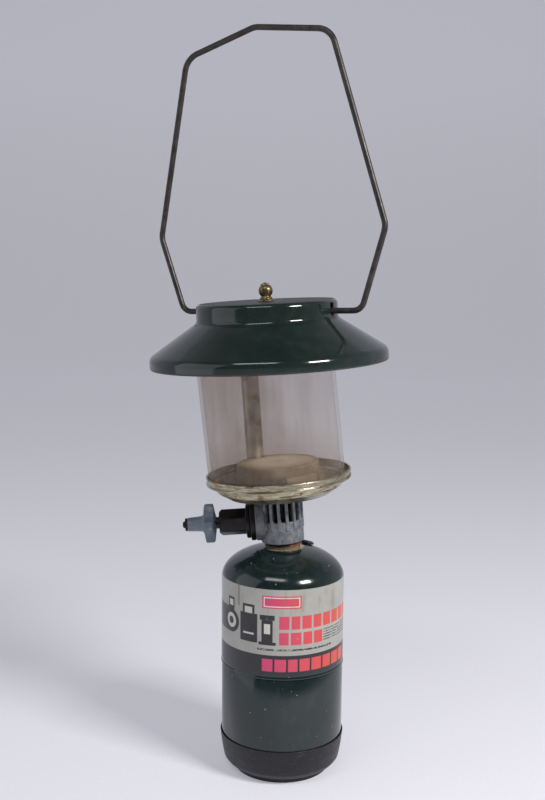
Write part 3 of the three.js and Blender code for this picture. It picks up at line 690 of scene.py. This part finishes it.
def tarnished_nickel():
    """Old plated steel: warm silver with olive, yellow and brown streaks that run round the dish."""
    look = Look("nickel_plate", metallic=0.92)
    look.lean()
    _, _, height = look.axes()
    streak = look.noise(26, detail=7, stretch=(1, 1, 0.07), roughness=0.62)
    colour = look.ramp(streak, [
        (0.3, tone("3c3320")), (0.42, tone("80765a")), (0.5, tone("c4beab")), (0.58, tone("8f8669")),
        (0.66, tone("b0a88f")), (0.78, tone("5f5234")),
    ])
    cloud = look.noise(22, detail=5, offset=4)
    colour = look.mix(look.math("MULTIPLY", look.step(cloud, 0.58, 0.08), 0.55), colour, tone("8c7a3e"))
    spots = look.step(look.noise(2.6, detail=6, offset=9), 0.64, 0.04)
    colour = look.mix(look.math("MULTIPLY", spots, 0.6), colour, tone("4f3d26"))
    # Painted shade: a dark line along the crease just below the ledge.
    crease_shade = look.between(height, PLATE_LEDGE - 2.0, PLATE_LEDGE - 1.0, 0.4)
    colour = look.mix(look.math("MULTIPLY", crease_shade, 0.75), colour, tone("2e2519"))
    rust = look.step(look.noise(10, detail=6, offset=21), 0.6, 0.06)
    rust = look.both(rust, look.below(height, PLATE_LEDGE - 1, 2))
    colour = look.mix(look.math("MULTIPLY", rust, 0.7), colour, tone("6b3f26"))
    # Dust and painted light: the up-facing floor is made pale and less metallic, so it no longer mirrors the
    # dark room overhead.
    floor = look.both(look.below(look.radius(), 52, 2), look.step(look.facing(), 0.2, 0.2))
    dust_and_painted_light = look.ramp(look.noise(18, detail=4, offset=30), [(0.3, tone("bfa98a")), (0.7, tone("d8c7ae"))])
    colour = look.mix(look.math("MULTIPLY", floor, 0.85), colour, dust_and_painted_light)
    look.connect("Base Color", colour)
    look.connect("Metallic", look.math("SUBTRACT", 0.92, look.math("MULTIPLY", floor, 0.8)))
    look.connect("Roughness", look.scaled(look.noise(6, detail=6), 0.16, 0.45))
    look.bump(look.noise(3, detail=4), 0.05, 0.4)
    look.bump(streak, 0.06, 0.4)
    return look.material


def heat_scaled():
    """Sheet steel that the flame has bleached to a dusty tan, its tones lifted overall as painted light
    where the hood shades it, with darker rings and specks.
    """
    look = Look("heat_shield_steel", metallic=0.25, specular=0.3)
    look.lean()
    ripple = look.scaled(look.noise(12, detail=5), -0.2, 0.2)
    wave = look.math("ADD", look.math("DIVIDE", look.radius(), 38), ripple)
    # Tan tones lifted as painted light, in place of the light the hood keeps off the shield.
    colour = look.ramp(wave, [
        (0.1, tone("d6c8b2")), (0.4, tone("e0d3bd")), (0.7, tone("c2b196")), (0.88, tone("84735a")),
    ])
    specks = look.step(look.noise(1.8, detail=6, offset=6), 0.63, 0.05)
    colour = look.mix(look.math("MULTIPLY", specks, 0.6), colour, tone("57442f"))
    look.connect("Base Color", colour)
    look.connect("Roughness", look.scaled(look.noise(5, detail=5), 0.5, 0.85))
    look.bump(look.noise(2.2, detail=5), 0.1, 0.5)
    return look.material


def worn_metal(name, dark, middle, light, roughness=0.35, size=5.0, metallic=0.9, stain=None):
    """Bare or plated metal with patchy tone, fine scratches and, if asked, stains."""
    look = Look(name, metallic=metallic)
    cloud = look.noise(size, detail=6)
    colour = look.ramp(cloud, [(0.25, tone(dark)), (0.5, tone(middle)), (0.78, tone(light))])
    if stain:
        mask = look.step(look.noise(size * 0.7, detail=6, offset=8), 0.57, 0.06)
        colour = look.mix(look.math("MULTIPLY", mask, 0.75), colour, tone(stain))
    look.connect("Base Color", colour)
    wear = look.noise(size * 0.6, detail=5)
    look.connect("Roughness", look.scaled(wear, roughness - 0.12, roughness + 0.2))
    look.bump(look.noise(0.9, detail=4), 0.03, 0.5)
    return look.material


def rubber():
    """Matt black rubber with a dusty bloom."""
    look = Look("rubber", specular=0.25)
    colour = look.ramp(look.noise(3, detail=5), [(0.3, tone("141414")), (0.8, tone("2b2a29"))])
    look.connect("Base Color", colour)
    look.connect("Roughness", look.scaled(look.noise(2, detail=4), 0.65, 0.9))
    look.bump(look.noise(0.6, detail=3), 0.03, 0.4)
    return look.material


def smoked_glass():
    """Clear glass under a thin brown film of soot: streaked, and denser low down and on one side."""
    look = Look("globe_glass", roughness=0.6, specular=0.3)
    look.lean()
    side, _, height = look.axes()
    cloud = look.noise(40, detail=4, stretch=(1, 1, 1.8))
    streaks = look.noise(12, detail=6, stretch=(1, 1, 7), offset=3)
    low = look.below(height, 75, 22)
    sooty = look.below(side, 10, 45)
    soot = look.math("ADD", look.scaled(cloud, -0.2, 0.65), look.scaled(streaks, -0.25, 0.35))
    soot = look.math("ADD", soot, look.math("MULTIPLY", sooty, 0.5))
    soot = look.math("ADD", soot, look.math("MULTIPLY", low, 0.15))
    stain = look.ramp(soot, [
        (0.0, (0.99, 0.98, 0.972)), (0.5, (0.95, 0.93, 0.915)), (1.0, (0.82, 0.78, 0.745)),
    ])
    specks = look.step(look.noise(1.7, detail=3, offset=11), 0.72, 0.02)
    specks = look.both(specks, look.step(cloud, 0.48, 0.1))
    film = look.math("ADD", look.scaled(streaks, -0.02, 0.07), look.math("MULTIPLY", specks, 0.2))
    film = look.math("MAXIMUM", look.math("ADD", film, look.math("MULTIPLY", low, 0.12)), 0.015)
    tint = look.ramp(streaks, [(0.3, tone("a8998a")), (0.7, tone("d6ccc0"))])
    look.connect("Base Color", tint)
    glow = look.node("ShaderNodeBsdfTranslucent", {"Color": tint}).outputs[0]
    cloudy = look.node("ShaderNodeMixShader", {0: 0.5, 1: look.shader.outputs[0], 2: glow}).outputs[0]
    clear = look.node("ShaderNodeBsdfTransparent", {"Color": stain}).outputs[0]
    shine = look.node("ShaderNodeBsdfGlossy", {"Roughness": 0.04}).outputs[0]
    edge_on = look.node("ShaderNodeLayerWeight", {"Blend": 0.5}).outputs["Facing"]
    edge = look.math("ADD", look.math("MULTIPLY", look.math("POWER", edge_on, 5.0), 0.5), 0.025)
    pane = look.node("ShaderNodeMixShader", {0: edge, 1: clear, 2: shine}).outputs[0]
    mixed = look.node("ShaderNodeMixShader", {0: film, 1: pane, 2: cloudy})
    output = look.tree.nodes["Material Output"]
    look.tree.links.new(mixed.outputs[0], output.inputs["Surface"])
    return look.material


# ---- Fuel cylinder ----

CYLINDER_R = 49.5
SHELL_WALL = 1.2
SEAM = 89
SHOULDER = 159.5
DOME_RISE = 25.3
BOTTOM_RISE = 26
NECK_R = 12.6
NECK_FLANGE_R = 14.8


def quarter_ellipse(radius, rise, base, end_radius, steps=24):
    """Points from the wall up, or down for a negative rise, to a smaller radius."""
    end = math.acos(end_radius / radius)
    angles = [end * i / steps for i in range(steps + 1)]
    return [(radius * math.cos(angle), base + rise * math.sin(angle)) for angle in angles]


def boot():
    """The moulded boot: a bowl on a narrower foot ring."""
    inner = CYLINDER_R + 0.1
    outline = rounded([
        (0, 0), (38.7, 0, 0.5), (38.9, 3.2, 0.3), (40.4, 3.6, 0.5), (44.6, 6.3, 3), (47.2, 9.6, 5),
        (48.9, 18.7, 8), (50.4, 30.6, 0.35), (inner, 30.6, 0.3), (inner, 24), (47.6, 18.2, 4),
        (45.7, 10.2, 4), (43.3, 7.4, 2), (39.4, 4.9, 1), (37.6, 4.2, 0.5), (37.4, 2), (0, 2),
    ])
    look = moulded("boot_plastic", "131116", "1a171d", roughness=0.42, lean=False, scuffs=0.12)
    finish_mesh("boot_moulding", turned(outline), "cylinder", ["cylinder_boot"], UPRIGHT, look)


def lower_shell(look):
    radius = CYLINDER_R - 0.2
    joggle = radius - SHELL_WALL - 0.2
    base = BOTTOM_RISE + 5
    outside = quarter_ellipse(radius, -BOTTOM_RISE, base, 0)[::-1]
    inside = quarter_ellipse(radius - SHELL_WALL, SHELL_WALL - BOTTOM_RISE, base, 0)
    rim = rounded([
        (radius, base), (radius, SEAM - 0.8), (radius - 0.4, SEAM), (joggle, SEAM), (joggle, SEAM + 5),
        (joggle - SHELL_WALL, SEAM + 5), (joggle - SHELL_WALL, SEAM - 3, 2), (radius - SHELL_WALL, base),
    ])
    outline = outside + rim[1:-1] + inside
    finish_mesh("lower_drawn_shell", turned(outline), "cylinder", ["cylinder_lower_shell"], UPRIGHT, look)


RELIEF = (Matrix.Rotation(math.radians(41), 4, "Z") @ Matrix.Translation((25.5 * MM, 0, 181.1 * MM))
          @ Matrix.Rotation(math.radians(17), 4, "Y"))


def upper_shell(look):
    hole = NECK_R + 1
    outside = quarter_ellipse(CYLINDER_R, DOME_RISE, SHOULDER, hole)
    inside = quarter_ellipse(CYLINDER_R - SHELL_WALL, DOME_RISE - SHELL_WALL, SHOULDER, hole)[::-1]
    skirt = SEAM + 0.3
    bead = rounded([
        (CYLINDER_R - SHELL_WALL, skirt), (CYLINDER_R + 0.5, skirt, 0.3),
        (CYLINDER_R + 0.5, skirt + 1, 0.4), (CYLINDER_R, skirt + 2.2, 1), outside[0],
    ])
    shell = turned(bead[:-1] + outside + inside)
    cutter = turned([(0, -5), (4.8, -5), (4.8, 6), (0, 6)], 32)
    cutter.transform(Matrix.Scale(1000, 4) @ RELIEF @ Matrix.Scale(MM, 4))
    drawn = carved(shell, cutter)
    finish_mesh("upper_drawn_shell", drawn, "cylinder", ["cylinder_upper_shell"], UPRIGHT, look)


def relief_cap():
    outline = rounded([(0, 0.4), (6, 0.4, 0.3), (6, 1.9, 0.8), (4.4, 2.7, 1), (0, 2.9)])
    look = moulded("relief_cap_plastic", "16211f", "1e2c2a", roughness=0.25, lean=False, scuffs=0.08)
    finish_mesh("relief_cap_moulding", turned(outline, 48), "cylinder", ["relief_valve_cap"], RELIEF, look)


def neck_collar():
    """The collar, whose thread is a true helix."""
    pitch, depth, start, top = 1.27, 0.7, 2.0, 13.0

    def thread(height):
        fade = min(1.0, (height - start) / pitch, (top - height) / pitch)

        def radius(angle):
            phase = (height / pitch - angle / (2 * math.pi)) % 1
            return NECK_R - depth * (1 - max(fade, 0) * min(1.0, 2.4 * min(phase, 1 - phase)))
        return radius

    steps = int((top - start) / pitch * 8)
    body = rounded([
        (5.5, -6), (NECK_R, -6), (NECK_R, -0.9),
        (NECK_FLANGE_R, -0.9, 0.3), (NECK_FLANGE_R, 0.9, 0.4), (13.2, 1.5, 0.4),
        (NECK_R - depth, 1.9),
    ])
    stations = [(z, r) for r, z in body]
    heights = [start + (top - start) * i / steps for i in range(steps + 1)]
    stations += [(height, thread(height)) for height in heights]
    stations += [(top, 11.3), (top, 6.0), (top - 0.5, 5.5)]
    look = neck_steel()
    finish_mesh("neck_threads", skin(stations, 96), "cylinder", ["neck_collar"], LEANING, look, sharp=50)


# ---- Lantern valve and control ----

VALVE_R = 17.3
VALVE_TOP = 38
FINS = 17
FIN_R = 18.1
BOSS_R = 16.2


def valve_casting():
    """The casting, joined and softened the way a worn mould would leave it."""
    parts = [
        turned(rounded([(0, 2.4), (VALVE_R, 2.4, 0.8), (VALVE_R, 20.5, 1), (0, 20.5)]), 96),
        turned([(0, 19), (11, 19), (11, VALVE_TOP), (0, VALVE_TOP)], 64),
        turned(rounded([(0, 36), (FIN_R, 36, 0.6), (FIN_R, VALVE_TOP, 0.6), (0, VALVE_TOP)]), 96),
    ]
    for i in range(FINS):
        turn = (i + 0.5) * 2 * math.pi / FINS
        parts.append(box_mesh((FIN_R - 9, 2.5, 23.5), ((FIN_R + 9) / 2, 0, 25.25), turn))
    sideways = Matrix.Translation((0, 0, CONTROL_HEIGHT)) @ Matrix.Rotation(-math.pi / 2, 4, "Y")
    for outline in ([(0, 0), (10.5, 0), (10.5, 19), (0, 19)],
                    rounded([(0, 13.2), (BOSS_R, 13.2, 1.2), (BOSS_R, 21, 1.2), (0, 21)])):
        boss = turned(outline, 72)
        boss.transform(sideways)
        parts.append(boss)
    bore = turned([(0, 13.8), (7.9, 13.8), (7.9, 22), (0, 22)], 48)
    bore.transform(sideways)
    socket = turned([(0, 1), (13.3, 1), (13.1, 4), (13.1, 11), (0, 11)], 64)
    jet_hole = turned([(0, 33), (3.5, 33), (3.5, 39), (0, 39)], 32)
    screw_holes = []
    for y in (8, -8):
        hole = turned([(0, 33), (1.8, 33), (1.8, 39), (0, 39)], 24)
        hole.transform(Matrix.Translation((0, y, 0)))
        screw_holes.append(hole)
    solid = evaluated(joined(parts), ("REMESH", {"mode": "VOXEL", "voxel_size": 0.4}))
    solid = carved(solid, bore, socket, jet_hole, *screw_holes)
    solid = evaluated(solid, ("SMOOTH", {"factor": 0.5, "iterations": 2}))
    finish_mesh("valve_casting", solid, "head", ["valve_body"], LEANING, zinc_casting(), sharp=60)


def hexagon_radius(across_flats, limit, soft=0.35):
    """The radius of a hexagon's side at an angle, kept inside a circle, with its corners eased."""
    apothem = across_flats / 2
    corner = apothem / math.cos(math.pi / 6) - soft

    def radius(angle):
        off_flat = (angle % (math.pi / 3)) - math.pi / 6
        return min(apothem / math.cos(off_flat), corner, limit)
    return radius


def bonnet(blackened):
    """A hexagonal barrel with turned-off corners that grows out of a round flange."""
    flats, bore, flange, start, end = 19, 2.4, 13.8, 25.2, 50
    corner = flats / 2 / math.cos(math.pi / 6)
    stations = [
        (start, bore), (start, flange - 0.5), (start + 0.5, flange),
        (start + 2.6, flange), (start + 3.2, flange - 0.6),
        (start + 3.2, corner + 0.4), (start + 3.7, hexagon_radius(flats, corner)),
        (end - 1.9, hexagon_radius(flats, corner)), (end, hexagon_radius(flats, corner - 2.2)), (end, bore),
    ]
    finish_mesh("bonnet_bar", skin(stations, 144), "head", ["valve_bonnet"], CONTROL, blackened)


def bonnet_gasket(blackened):
    edge = BOSS_R - 0.3
    outline = rounded([(7.9, 21.3), (edge, 21.3, 0.5), (edge, 24.9, 0.9), (7.9, 24.9)])
    finish_mesh("gasket_ring", turned(outline, 96), "head", ["bonnet_gasket"], CONTROL, blackened)


def knob(look):
    """The knob: a thick four-lobed rim next to the bonnet that sweeps up to a slim hub."""
    rim, hub, lobe_cut, reach_out = 16.2, 5.4, 8.6, 1.7

    def lobed(limit):
        def radius(angle):
            nearest = (angle % (math.pi / 2)) - math.pi / 4
            away = (rim + reach_out) * math.cos(nearest)
            reach = lobe_cut ** 2 - ((rim + reach_out) * math.sin(nearest)) ** 2
            scallop = away - math.sqrt(reach) if reach > 0 else limit
            share = 18.0
            return (limit ** -share + min(scallop, limit + 4) ** -share) ** (-1 / share)
        return radius

    profile = rounded([
        (5, 53), (7, 53, 0.4), (rim, 54.6, 1.2), (rim, 61.6, 1.4),
        (hub + 0.9, 63, 2.6), (hub, 75.8, 0.5), (4, 75.8),
    ], steps=8)
    stations = [(53.2, 2.4)] + [(height, lobed(r)) for r, height in profile] + [(75.6, 2.4)]
    finish_mesh("knob_moulding", skin(stations, 160), "knob", ["control_knob"], CONTROL, look, sharp=50)


def knob_fixings(blackened):
    washer = turned(rounded([(1.6, 76.1), (5.2, 76.1, 0.3), (5.2, 77.8, 0.4), (1.6, 77.8)]), 48)
    finish_mesh("knob_washer_disc", washer, "knob", ["knob_washer"], CONTROL, blackened)
    head = rounded([
        (0, 69.8), (1.3, 69.8), (1.3, 78.1), (2.7, 78.1, 0.2),
        (2.7, 79.1, 0.4), (1.8, 79.8, 0.4), (0, 80),
    ])
    slot = box_mesh((0.7, 8, 1.2), (0, 0, 80.1), 0.5)
    screw = carved(turned(head, 48), slot)
    finish_mesh("slotted_screw", screw, "knob", ["knob_screw"], CONTROL, blackened)


# ---- Base plate, shield and globe ----

PLATE_FLOOR = 41.3
PLATE_LEDGE = 53.4
PLATE_RIM_R = 58.2
SCREW_Y = 8


def screw_cutters(bottom, top, radius=1.9):
    cutters = []
    for y in (SCREW_Y, -SCREW_Y):
        cutter = turned([(0, bottom), (radius, bottom), (radius, top), (0, top)], 24)
        cutter.transform(Matrix.Translation((0, y, 0)))
        cutters.append(cutter)
    return cutters


def base_plate(nickel):
    rim = PLATE_RIM_R
    outline = rounded([
        (3.6, PLATE_FLOOR), (42, PLATE_FLOOR, 2.5), (50.4, 46.8, 3), (51.8, 51.9, 1.2), (rim, 52.4, 0.7),
        (rim, 54, 0.6), (57.5, 54.6, 0.5), (57.5, 57.2, 0.5), (rim, 57.6, 0.5), (rim, 59.2, 0.7),
        (56.7, 59.2, 0.4), (56.7, 53.8, 0.5), (55.9, 53.4), (50.9, 53.4, 0.5),
        (49.5, 47.5, 2.4), (41.6, 42.3, 1.8), (3.6, 42.3),
    ])
    dish = carved(turned(outline, 192), *screw_cutters(PLATE_FLOOR - 1, PLATE_FLOOR + 2))
    finish_mesh("spun_base_plate", dish, "head", ["base_plate"], LEANING, nickel)


def base_washer():
    outline = rounded([(3.6, 38.3), (22.5, 38.3, 0.8), (22.5, 41, 0.8), (3.6, 41)])
    disc = carved(turned(outline, 96), *screw_cutters(37, 42))
    # Pale zinc, made paler still as painted light: the washer faces down and gets little light.
    look = worn_metal("washer_zinc", "bdb4ae", "d5cec9", "e4dedb",
                      roughness=0.5, size=6, metallic=0.1, stain="a8968a")
    finish_mesh("washer_disc", disc, "head", ["base_washer"], LEANING, look)


def heat_shield():
    """A shallow inverted tray on three bent legs, notched where the mixing tube passes."""
    radius, top, wall, depth, foot = 33, 67.2, 0.8, 8, PLATE_FLOOR + 1.3
    tray = rounded([
        (0, top), (radius, top, 1.4), (radius, top - depth, 0.3), (radius - wall, top - depth, 0.3),
        (radius - wall, top - wall, 0.7), (0, top - wall),
    ])
    passage = turned([(0, 40), (TUBE_R + 0.8, 40), (TUBE_R + 0.8, 70), (0, 70)], 48)
    passage.transform(Matrix.Translation((TUBE_X, TUBE_Y, 0)))
    parts = [carved(turned(tray, 160), passage)]
    leg = rounded([
        (radius - 0.05, top - 2), (radius - 0.05, foot + 1, 0.8),
        (radius + 4.8, foot + 1), (radius + 4.8, foot),
        (radius - 1.2, foot, 1.6), (radius - 1.2, top - 2),
    ])
    for turn in (-8, 88, 232):
        strip = strip_mesh(leg, 8)
        strip.transform(Matrix.Rotation(math.radians(turn), 4, "Z"))
        parts.append(strip)
    finish_mesh("shield_tray", joined(parts), "head", ["heat_shield"], LEANING, heat_scaled())


def strip_mesh(outline, width):
    """A strip cut from sheet: the outline lies in the XZ plane and the width runs along Y."""
    count = len(outline)
    verts = [(x, side * width / 2, z) for side in (-1, 1) for x, z in outline]
    faces = [tuple(range(count)), tuple(range(2 * count - 1, count - 1, -1))]
    faces += [(i, (i + 1) % count, (i + 1) % count + count, i + count) for i in range(count)]
    mesh = bpy.data.meshes.new("strip")
    mesh.from_pydata(verts, [], faces)
    return mesh


def globe():
    """A plain glass cylinder that stands a little crooked on its ledge."""
    outer, inner, bottom, top, tilt, shift = 54.8, 52.2, 53.7, 166, 2, 1.2
    steps = 12
    outside = [(outer, bottom + 0.8 + (top - bottom - 1.6) * i / steps) for i in range(steps + 1)]
    rim = rounded([(outer, top - 2), (outer, top, 0.9), (inner, top, 0.9), (inner, top - 2)])[1:-1]
    inside = [(inner, z) for _, z in outside][::-1]
    foot = rounded([
        (inner, bottom + 2), (inner, bottom, 0.9), (outer, bottom, 0.9), (outer, bottom + 2),
    ])[1:-1]
    shell = turned(outside[1:-1] + rim + inside[1:-1] + foot, 192)
    tip = Matrix.Translation((-outer - shift, 0, bottom)) @ Matrix.Rotation(-math.radians(tilt), 4, "Y")
    shell.transform(tip @ Matrix.Translation((outer, 0, -bottom)))
    finish_mesh("glass_cylinder", shell, "head", ["globe"], LEANING, smoked_glass())


# ---- Burner ----

TUBE_R = 7.2
TUBE_X, TUBE_Y = -18.5, 26


def pipe(path, radius, wall, sides=40):
    count = len(path)
    return tube(path, [[radius] * count, [radius - wall] * count], sides)


def mixing_parts(stainless):
    elbow = bent_path([(0, 0, 48.6), (0, 0, 56), (TUBE_X, TUBE_Y, 56), (TUBE_X, TUBE_Y, 68.4)], TUBE_R, 12)
    finish_mesh("elbow_pipe", pipe(elbow, TUBE_R - 0.3, 1), "head", ["mixing_elbow"], LEANING, stainless)
    upright = bent_path([(TUBE_X, TUBE_Y, 68.7), (TUBE_X, TUBE_Y, 148)], 1)
    finish_mesh("upright_pipe", pipe(upright, TUBE_R, 1), "head", ["mixing_tube"], LEANING, stainless)
    over = bent_path([(TUBE_X, TUBE_Y, 148.3), (TUBE_X, TUBE_Y, 158), (0, 0, 158), (0, 0, 147.3)], 8, 14)
    finish_mesh("return_pipe", pipe(over, TUBE_R, 1), "head", ["burner_arm"], LEANING, stainless)


def burner_cap(blackened):
    outline = rounded([
        (7.2, 138), (10.2, 138, 0.4), (10.2, 140, 0.5), (9.3, 141, 0.5),
        (10.2, 142, 0.5), (10.2, 146, 0.7), (9.2, 147),
        (5.2, 147), (5.2, 145), (8.1, 144), (8.1, 139), (7.2, 139),
    ])
    finish_mesh("burner_cup", turned(outline, 72), "head", ["burner_cap"], LEANING, blackened)


# ---- Hood, ball nut and bail ----

HOOD_TOP = 195.4
COLLAR_R = 55.9
BRIM_R = 94.5
BRIM_BOTTOM = 146.3
SLOT_MIDDLE = 188.1
HOOD_TILT = (Matrix.Translation((0, 0, HOOD_TOP)) @ Matrix.Rotation(math.radians(1.2), 4, "Y")
             @ Matrix.Translation((0, 0, -HOOD_TOP)))


def hood():
    """The pressed hood: it sits a little crooked on the stud."""
    wall, hem = 1.2, 2.3
    inner, inside_lip = COLLAR_R - wall, BRIM_R - wall
    outline = rounded([
        (2.8, HOOD_TOP), (30, HOOD_TOP), (COLLAR_R, HOOD_TOP, 3.8), (COLLAR_R, 181, 4), (BRIM_R, 155.4, 7),
        (BRIM_R, BRIM_BOTTOM + 1, 1), (BRIM_R - 1, BRIM_BOTTOM, 0.8), (BRIM_R - hem, BRIM_BOTTOM, 0.8),
        (BRIM_R - hem, BRIM_BOTTOM + 2.3, 0.5), (inside_lip, BRIM_BOTTOM + 3), (inside_lip, 154.8, 6),
        (inner, 180.4, 4.6), (inner, HOOD_TOP - wall, 2.6), (2.8, HOOD_TOP - wall),
    ], steps=10)
    slots = [box_mesh((12, 6, 9.8), (COLLAR_R, 0, SLOT_MIDDLE), BAIL_TURN + half) for half in (0, math.pi)]
    shell = carved(turned(outline, 256), *slots)
    shell.transform(HOOD_TILT)
    spots = []
    for half, reach in ((0, 3.6), (math.pi, 2.4)):
        along = Vector((COLLAR_R, 0, SLOT_MIDDLE - 3)) * MM
        spots.append((LEANING @ (Matrix.Rotation(BAIL_TURN + half, 3, "Z") @ along), reach))
    stud = LEANING @ Vector((0, 0, HOOD_TOP * MM))
    finish_mesh("enamelled_hood", shell, "head", ["hood"], LEANING, enamel(spots, stud))


def hood_washer(steel):
    outline = rounded([(2.6, 195.7), (7, 195.7, 0.2), (7, 196.5, 0.3), (2.6, 196.5)])
    finish_mesh("nut_washer_disc", turned(outline, 64), "nut_washer", ["hood_washer"], LEANING, steel)


def ball_nut(brass):
    """A flared foot, a neck and a ball crowned with small bumps round its tip."""
    centre, ball, neck = 203.6, 5.6, 3.9
    low, high = -math.acos(neck / ball), math.radians(68)
    angles = [low + (high - low) * i / 24 for i in range(25)]
    arc = [(ball * math.cos(angle), centre + ball * math.sin(angle)) for angle in angles]
    foot = rounded([(2.6, 196.8), (5, 196.8, 0.3), (5, 197.7, 0.3), (neck, 199, 0.8), arc[0]])
    top = centre + ball
    tip = rounded([arc[-1], (1.7, top - 0.1, 0.3), (1.6, top + 0.8, 0.5), (0, top + 0.95)])
    outline = [(0, 206.6), (2.6, 206.6)] + foot[:-1] + arc + tip[1:]
    parts = [turned(outline, 72)]
    for i in range(6):
        bump = turned(quarter_ellipse(1.15, 1.15, 0, 0, 6) + [(0, -1), (1.15, -1)], 16)
        tilt = Matrix.Rotation(math.radians(30), 4, "Y")
        turn = Matrix.Rotation(i * math.pi / 3, 4, "Z")
        bump.transform(turn @ Matrix.Translation((2.6, 0, centre + 4.45)) @ tilt)
        parts.append(bump)
    finish_mesh("crowned_nut", joined(parts), "ball_nut", ["ball_nut"], LEANING, brass)


def bail():
    """Steel wire bent by hand: each straight run ends in a soft bend."""
    def on_hinge(u):
        return (u, 0, u * BAIL_SLOPE)

    loop = [(98, 0, 66), (51.4, 0, 211), (-12.5, 0, 217.3), (-72.8, 0, 197.8), (-97, 0, 57)]
    corners = [on_hinge(44), on_hinge(79.8)] + loop + [on_hinge(-75.6), on_hinge(-44)]
    bends = [0, 9, 16, 16, 16, 16, 16, 9, 0]
    path = bent_path(corners, bends, 10)
    look = worn_metal("bail_wire_steel", "26221f", "3a3533", "4b4542", size=9, stain="2a2320", metallic=0.45)
    wire = tube(path, [[2.3] * len(path)], 24)
    finish_mesh("bail_wire", wire, "bail", ["bail_handle"], BAIL_PLANE, look)


# ---- Small CAD pieces that keep their own mesh ----

def dress(material, *names):
    """Gives CAD nodes a material; their shape stays as it is."""
    for name in names:
        mesh = frame["nodes"][name].data
        mesh.materials.clear()
        mesh.materials.append(material)


add_camera()
add_world()
add_floor()
add_area_light("key", (0.85, -0.75, 0.75), 1.35, (0.4, 0.25), 18, (1.0, 0.98, 0.95))
add_area_light("window", (-1.0, -0.3, 0.3), 1.6, (1.4, 1.6), 5, (0.92, 0.95, 1.0))
add_area_light("top", (-0.25, -0.7, 1.0), 1.6, (0.9, 0.3), 5, (1.0, 1.0, 1.0))

steel = worn_metal("plated_steel", "5f5b52", "8b877c", "b3afa3", size=3, stain="5a4630")
stainless = worn_metal("stainless_pipe", "8d877e", "b6afa6", "d2ccc3", 0.3, 14, 0.7, stain="93795c")
blackened = worn_metal("blackened_steel", "121012", "1c191b", "2c2625",
                       roughness=0.34, size=5, metallic=0.5)
brass = worn_metal("aged_brass", "5a4a34", "8a7757", "b5a283", roughness=0.3, size=3, stain="3b2e1e")
black_rubber = rubber()

boot()
lower_shell(cylinder_paint("lower_paint", with_label=False))
upper_shell(cylinder_paint("upper_paint", with_label=True))
relief_cap()
neck_collar()
valve_casting()
bonnet(blackened)
bonnet_gasket(blackened)
knob(moulded("knob_plastic", "5e6a78", "76828f", roughness=0.5, scuff="a5adb3", scuffs=0.55))
knob_fixings(blackened)
nickel = tarnished_nickel()
base_plate(nickel)
base_washer()
heat_shield()
globe()
mixing_parts(stainless)
burner_cap(blackened)
hood()
hood_washer(steel)
ball_nut(brass)
bail()
dress(brass, "relief_valve_body", "tank_valve_body", "inlet_pin", "gas_jet")
dress(blackened, "packing_nut", "valve_stem")
dress(steel, "tank_valve_pin", "base_screw_back", "base_screw_front")
dress(steel, "hood_stud", "hood_rest_nut", "burner_screen")
dress(black_rubber, "tank_valve_seal", "inlet_seal", "stem_seal")

bpy.context.scene.view_settings.view_transform = "Standard"
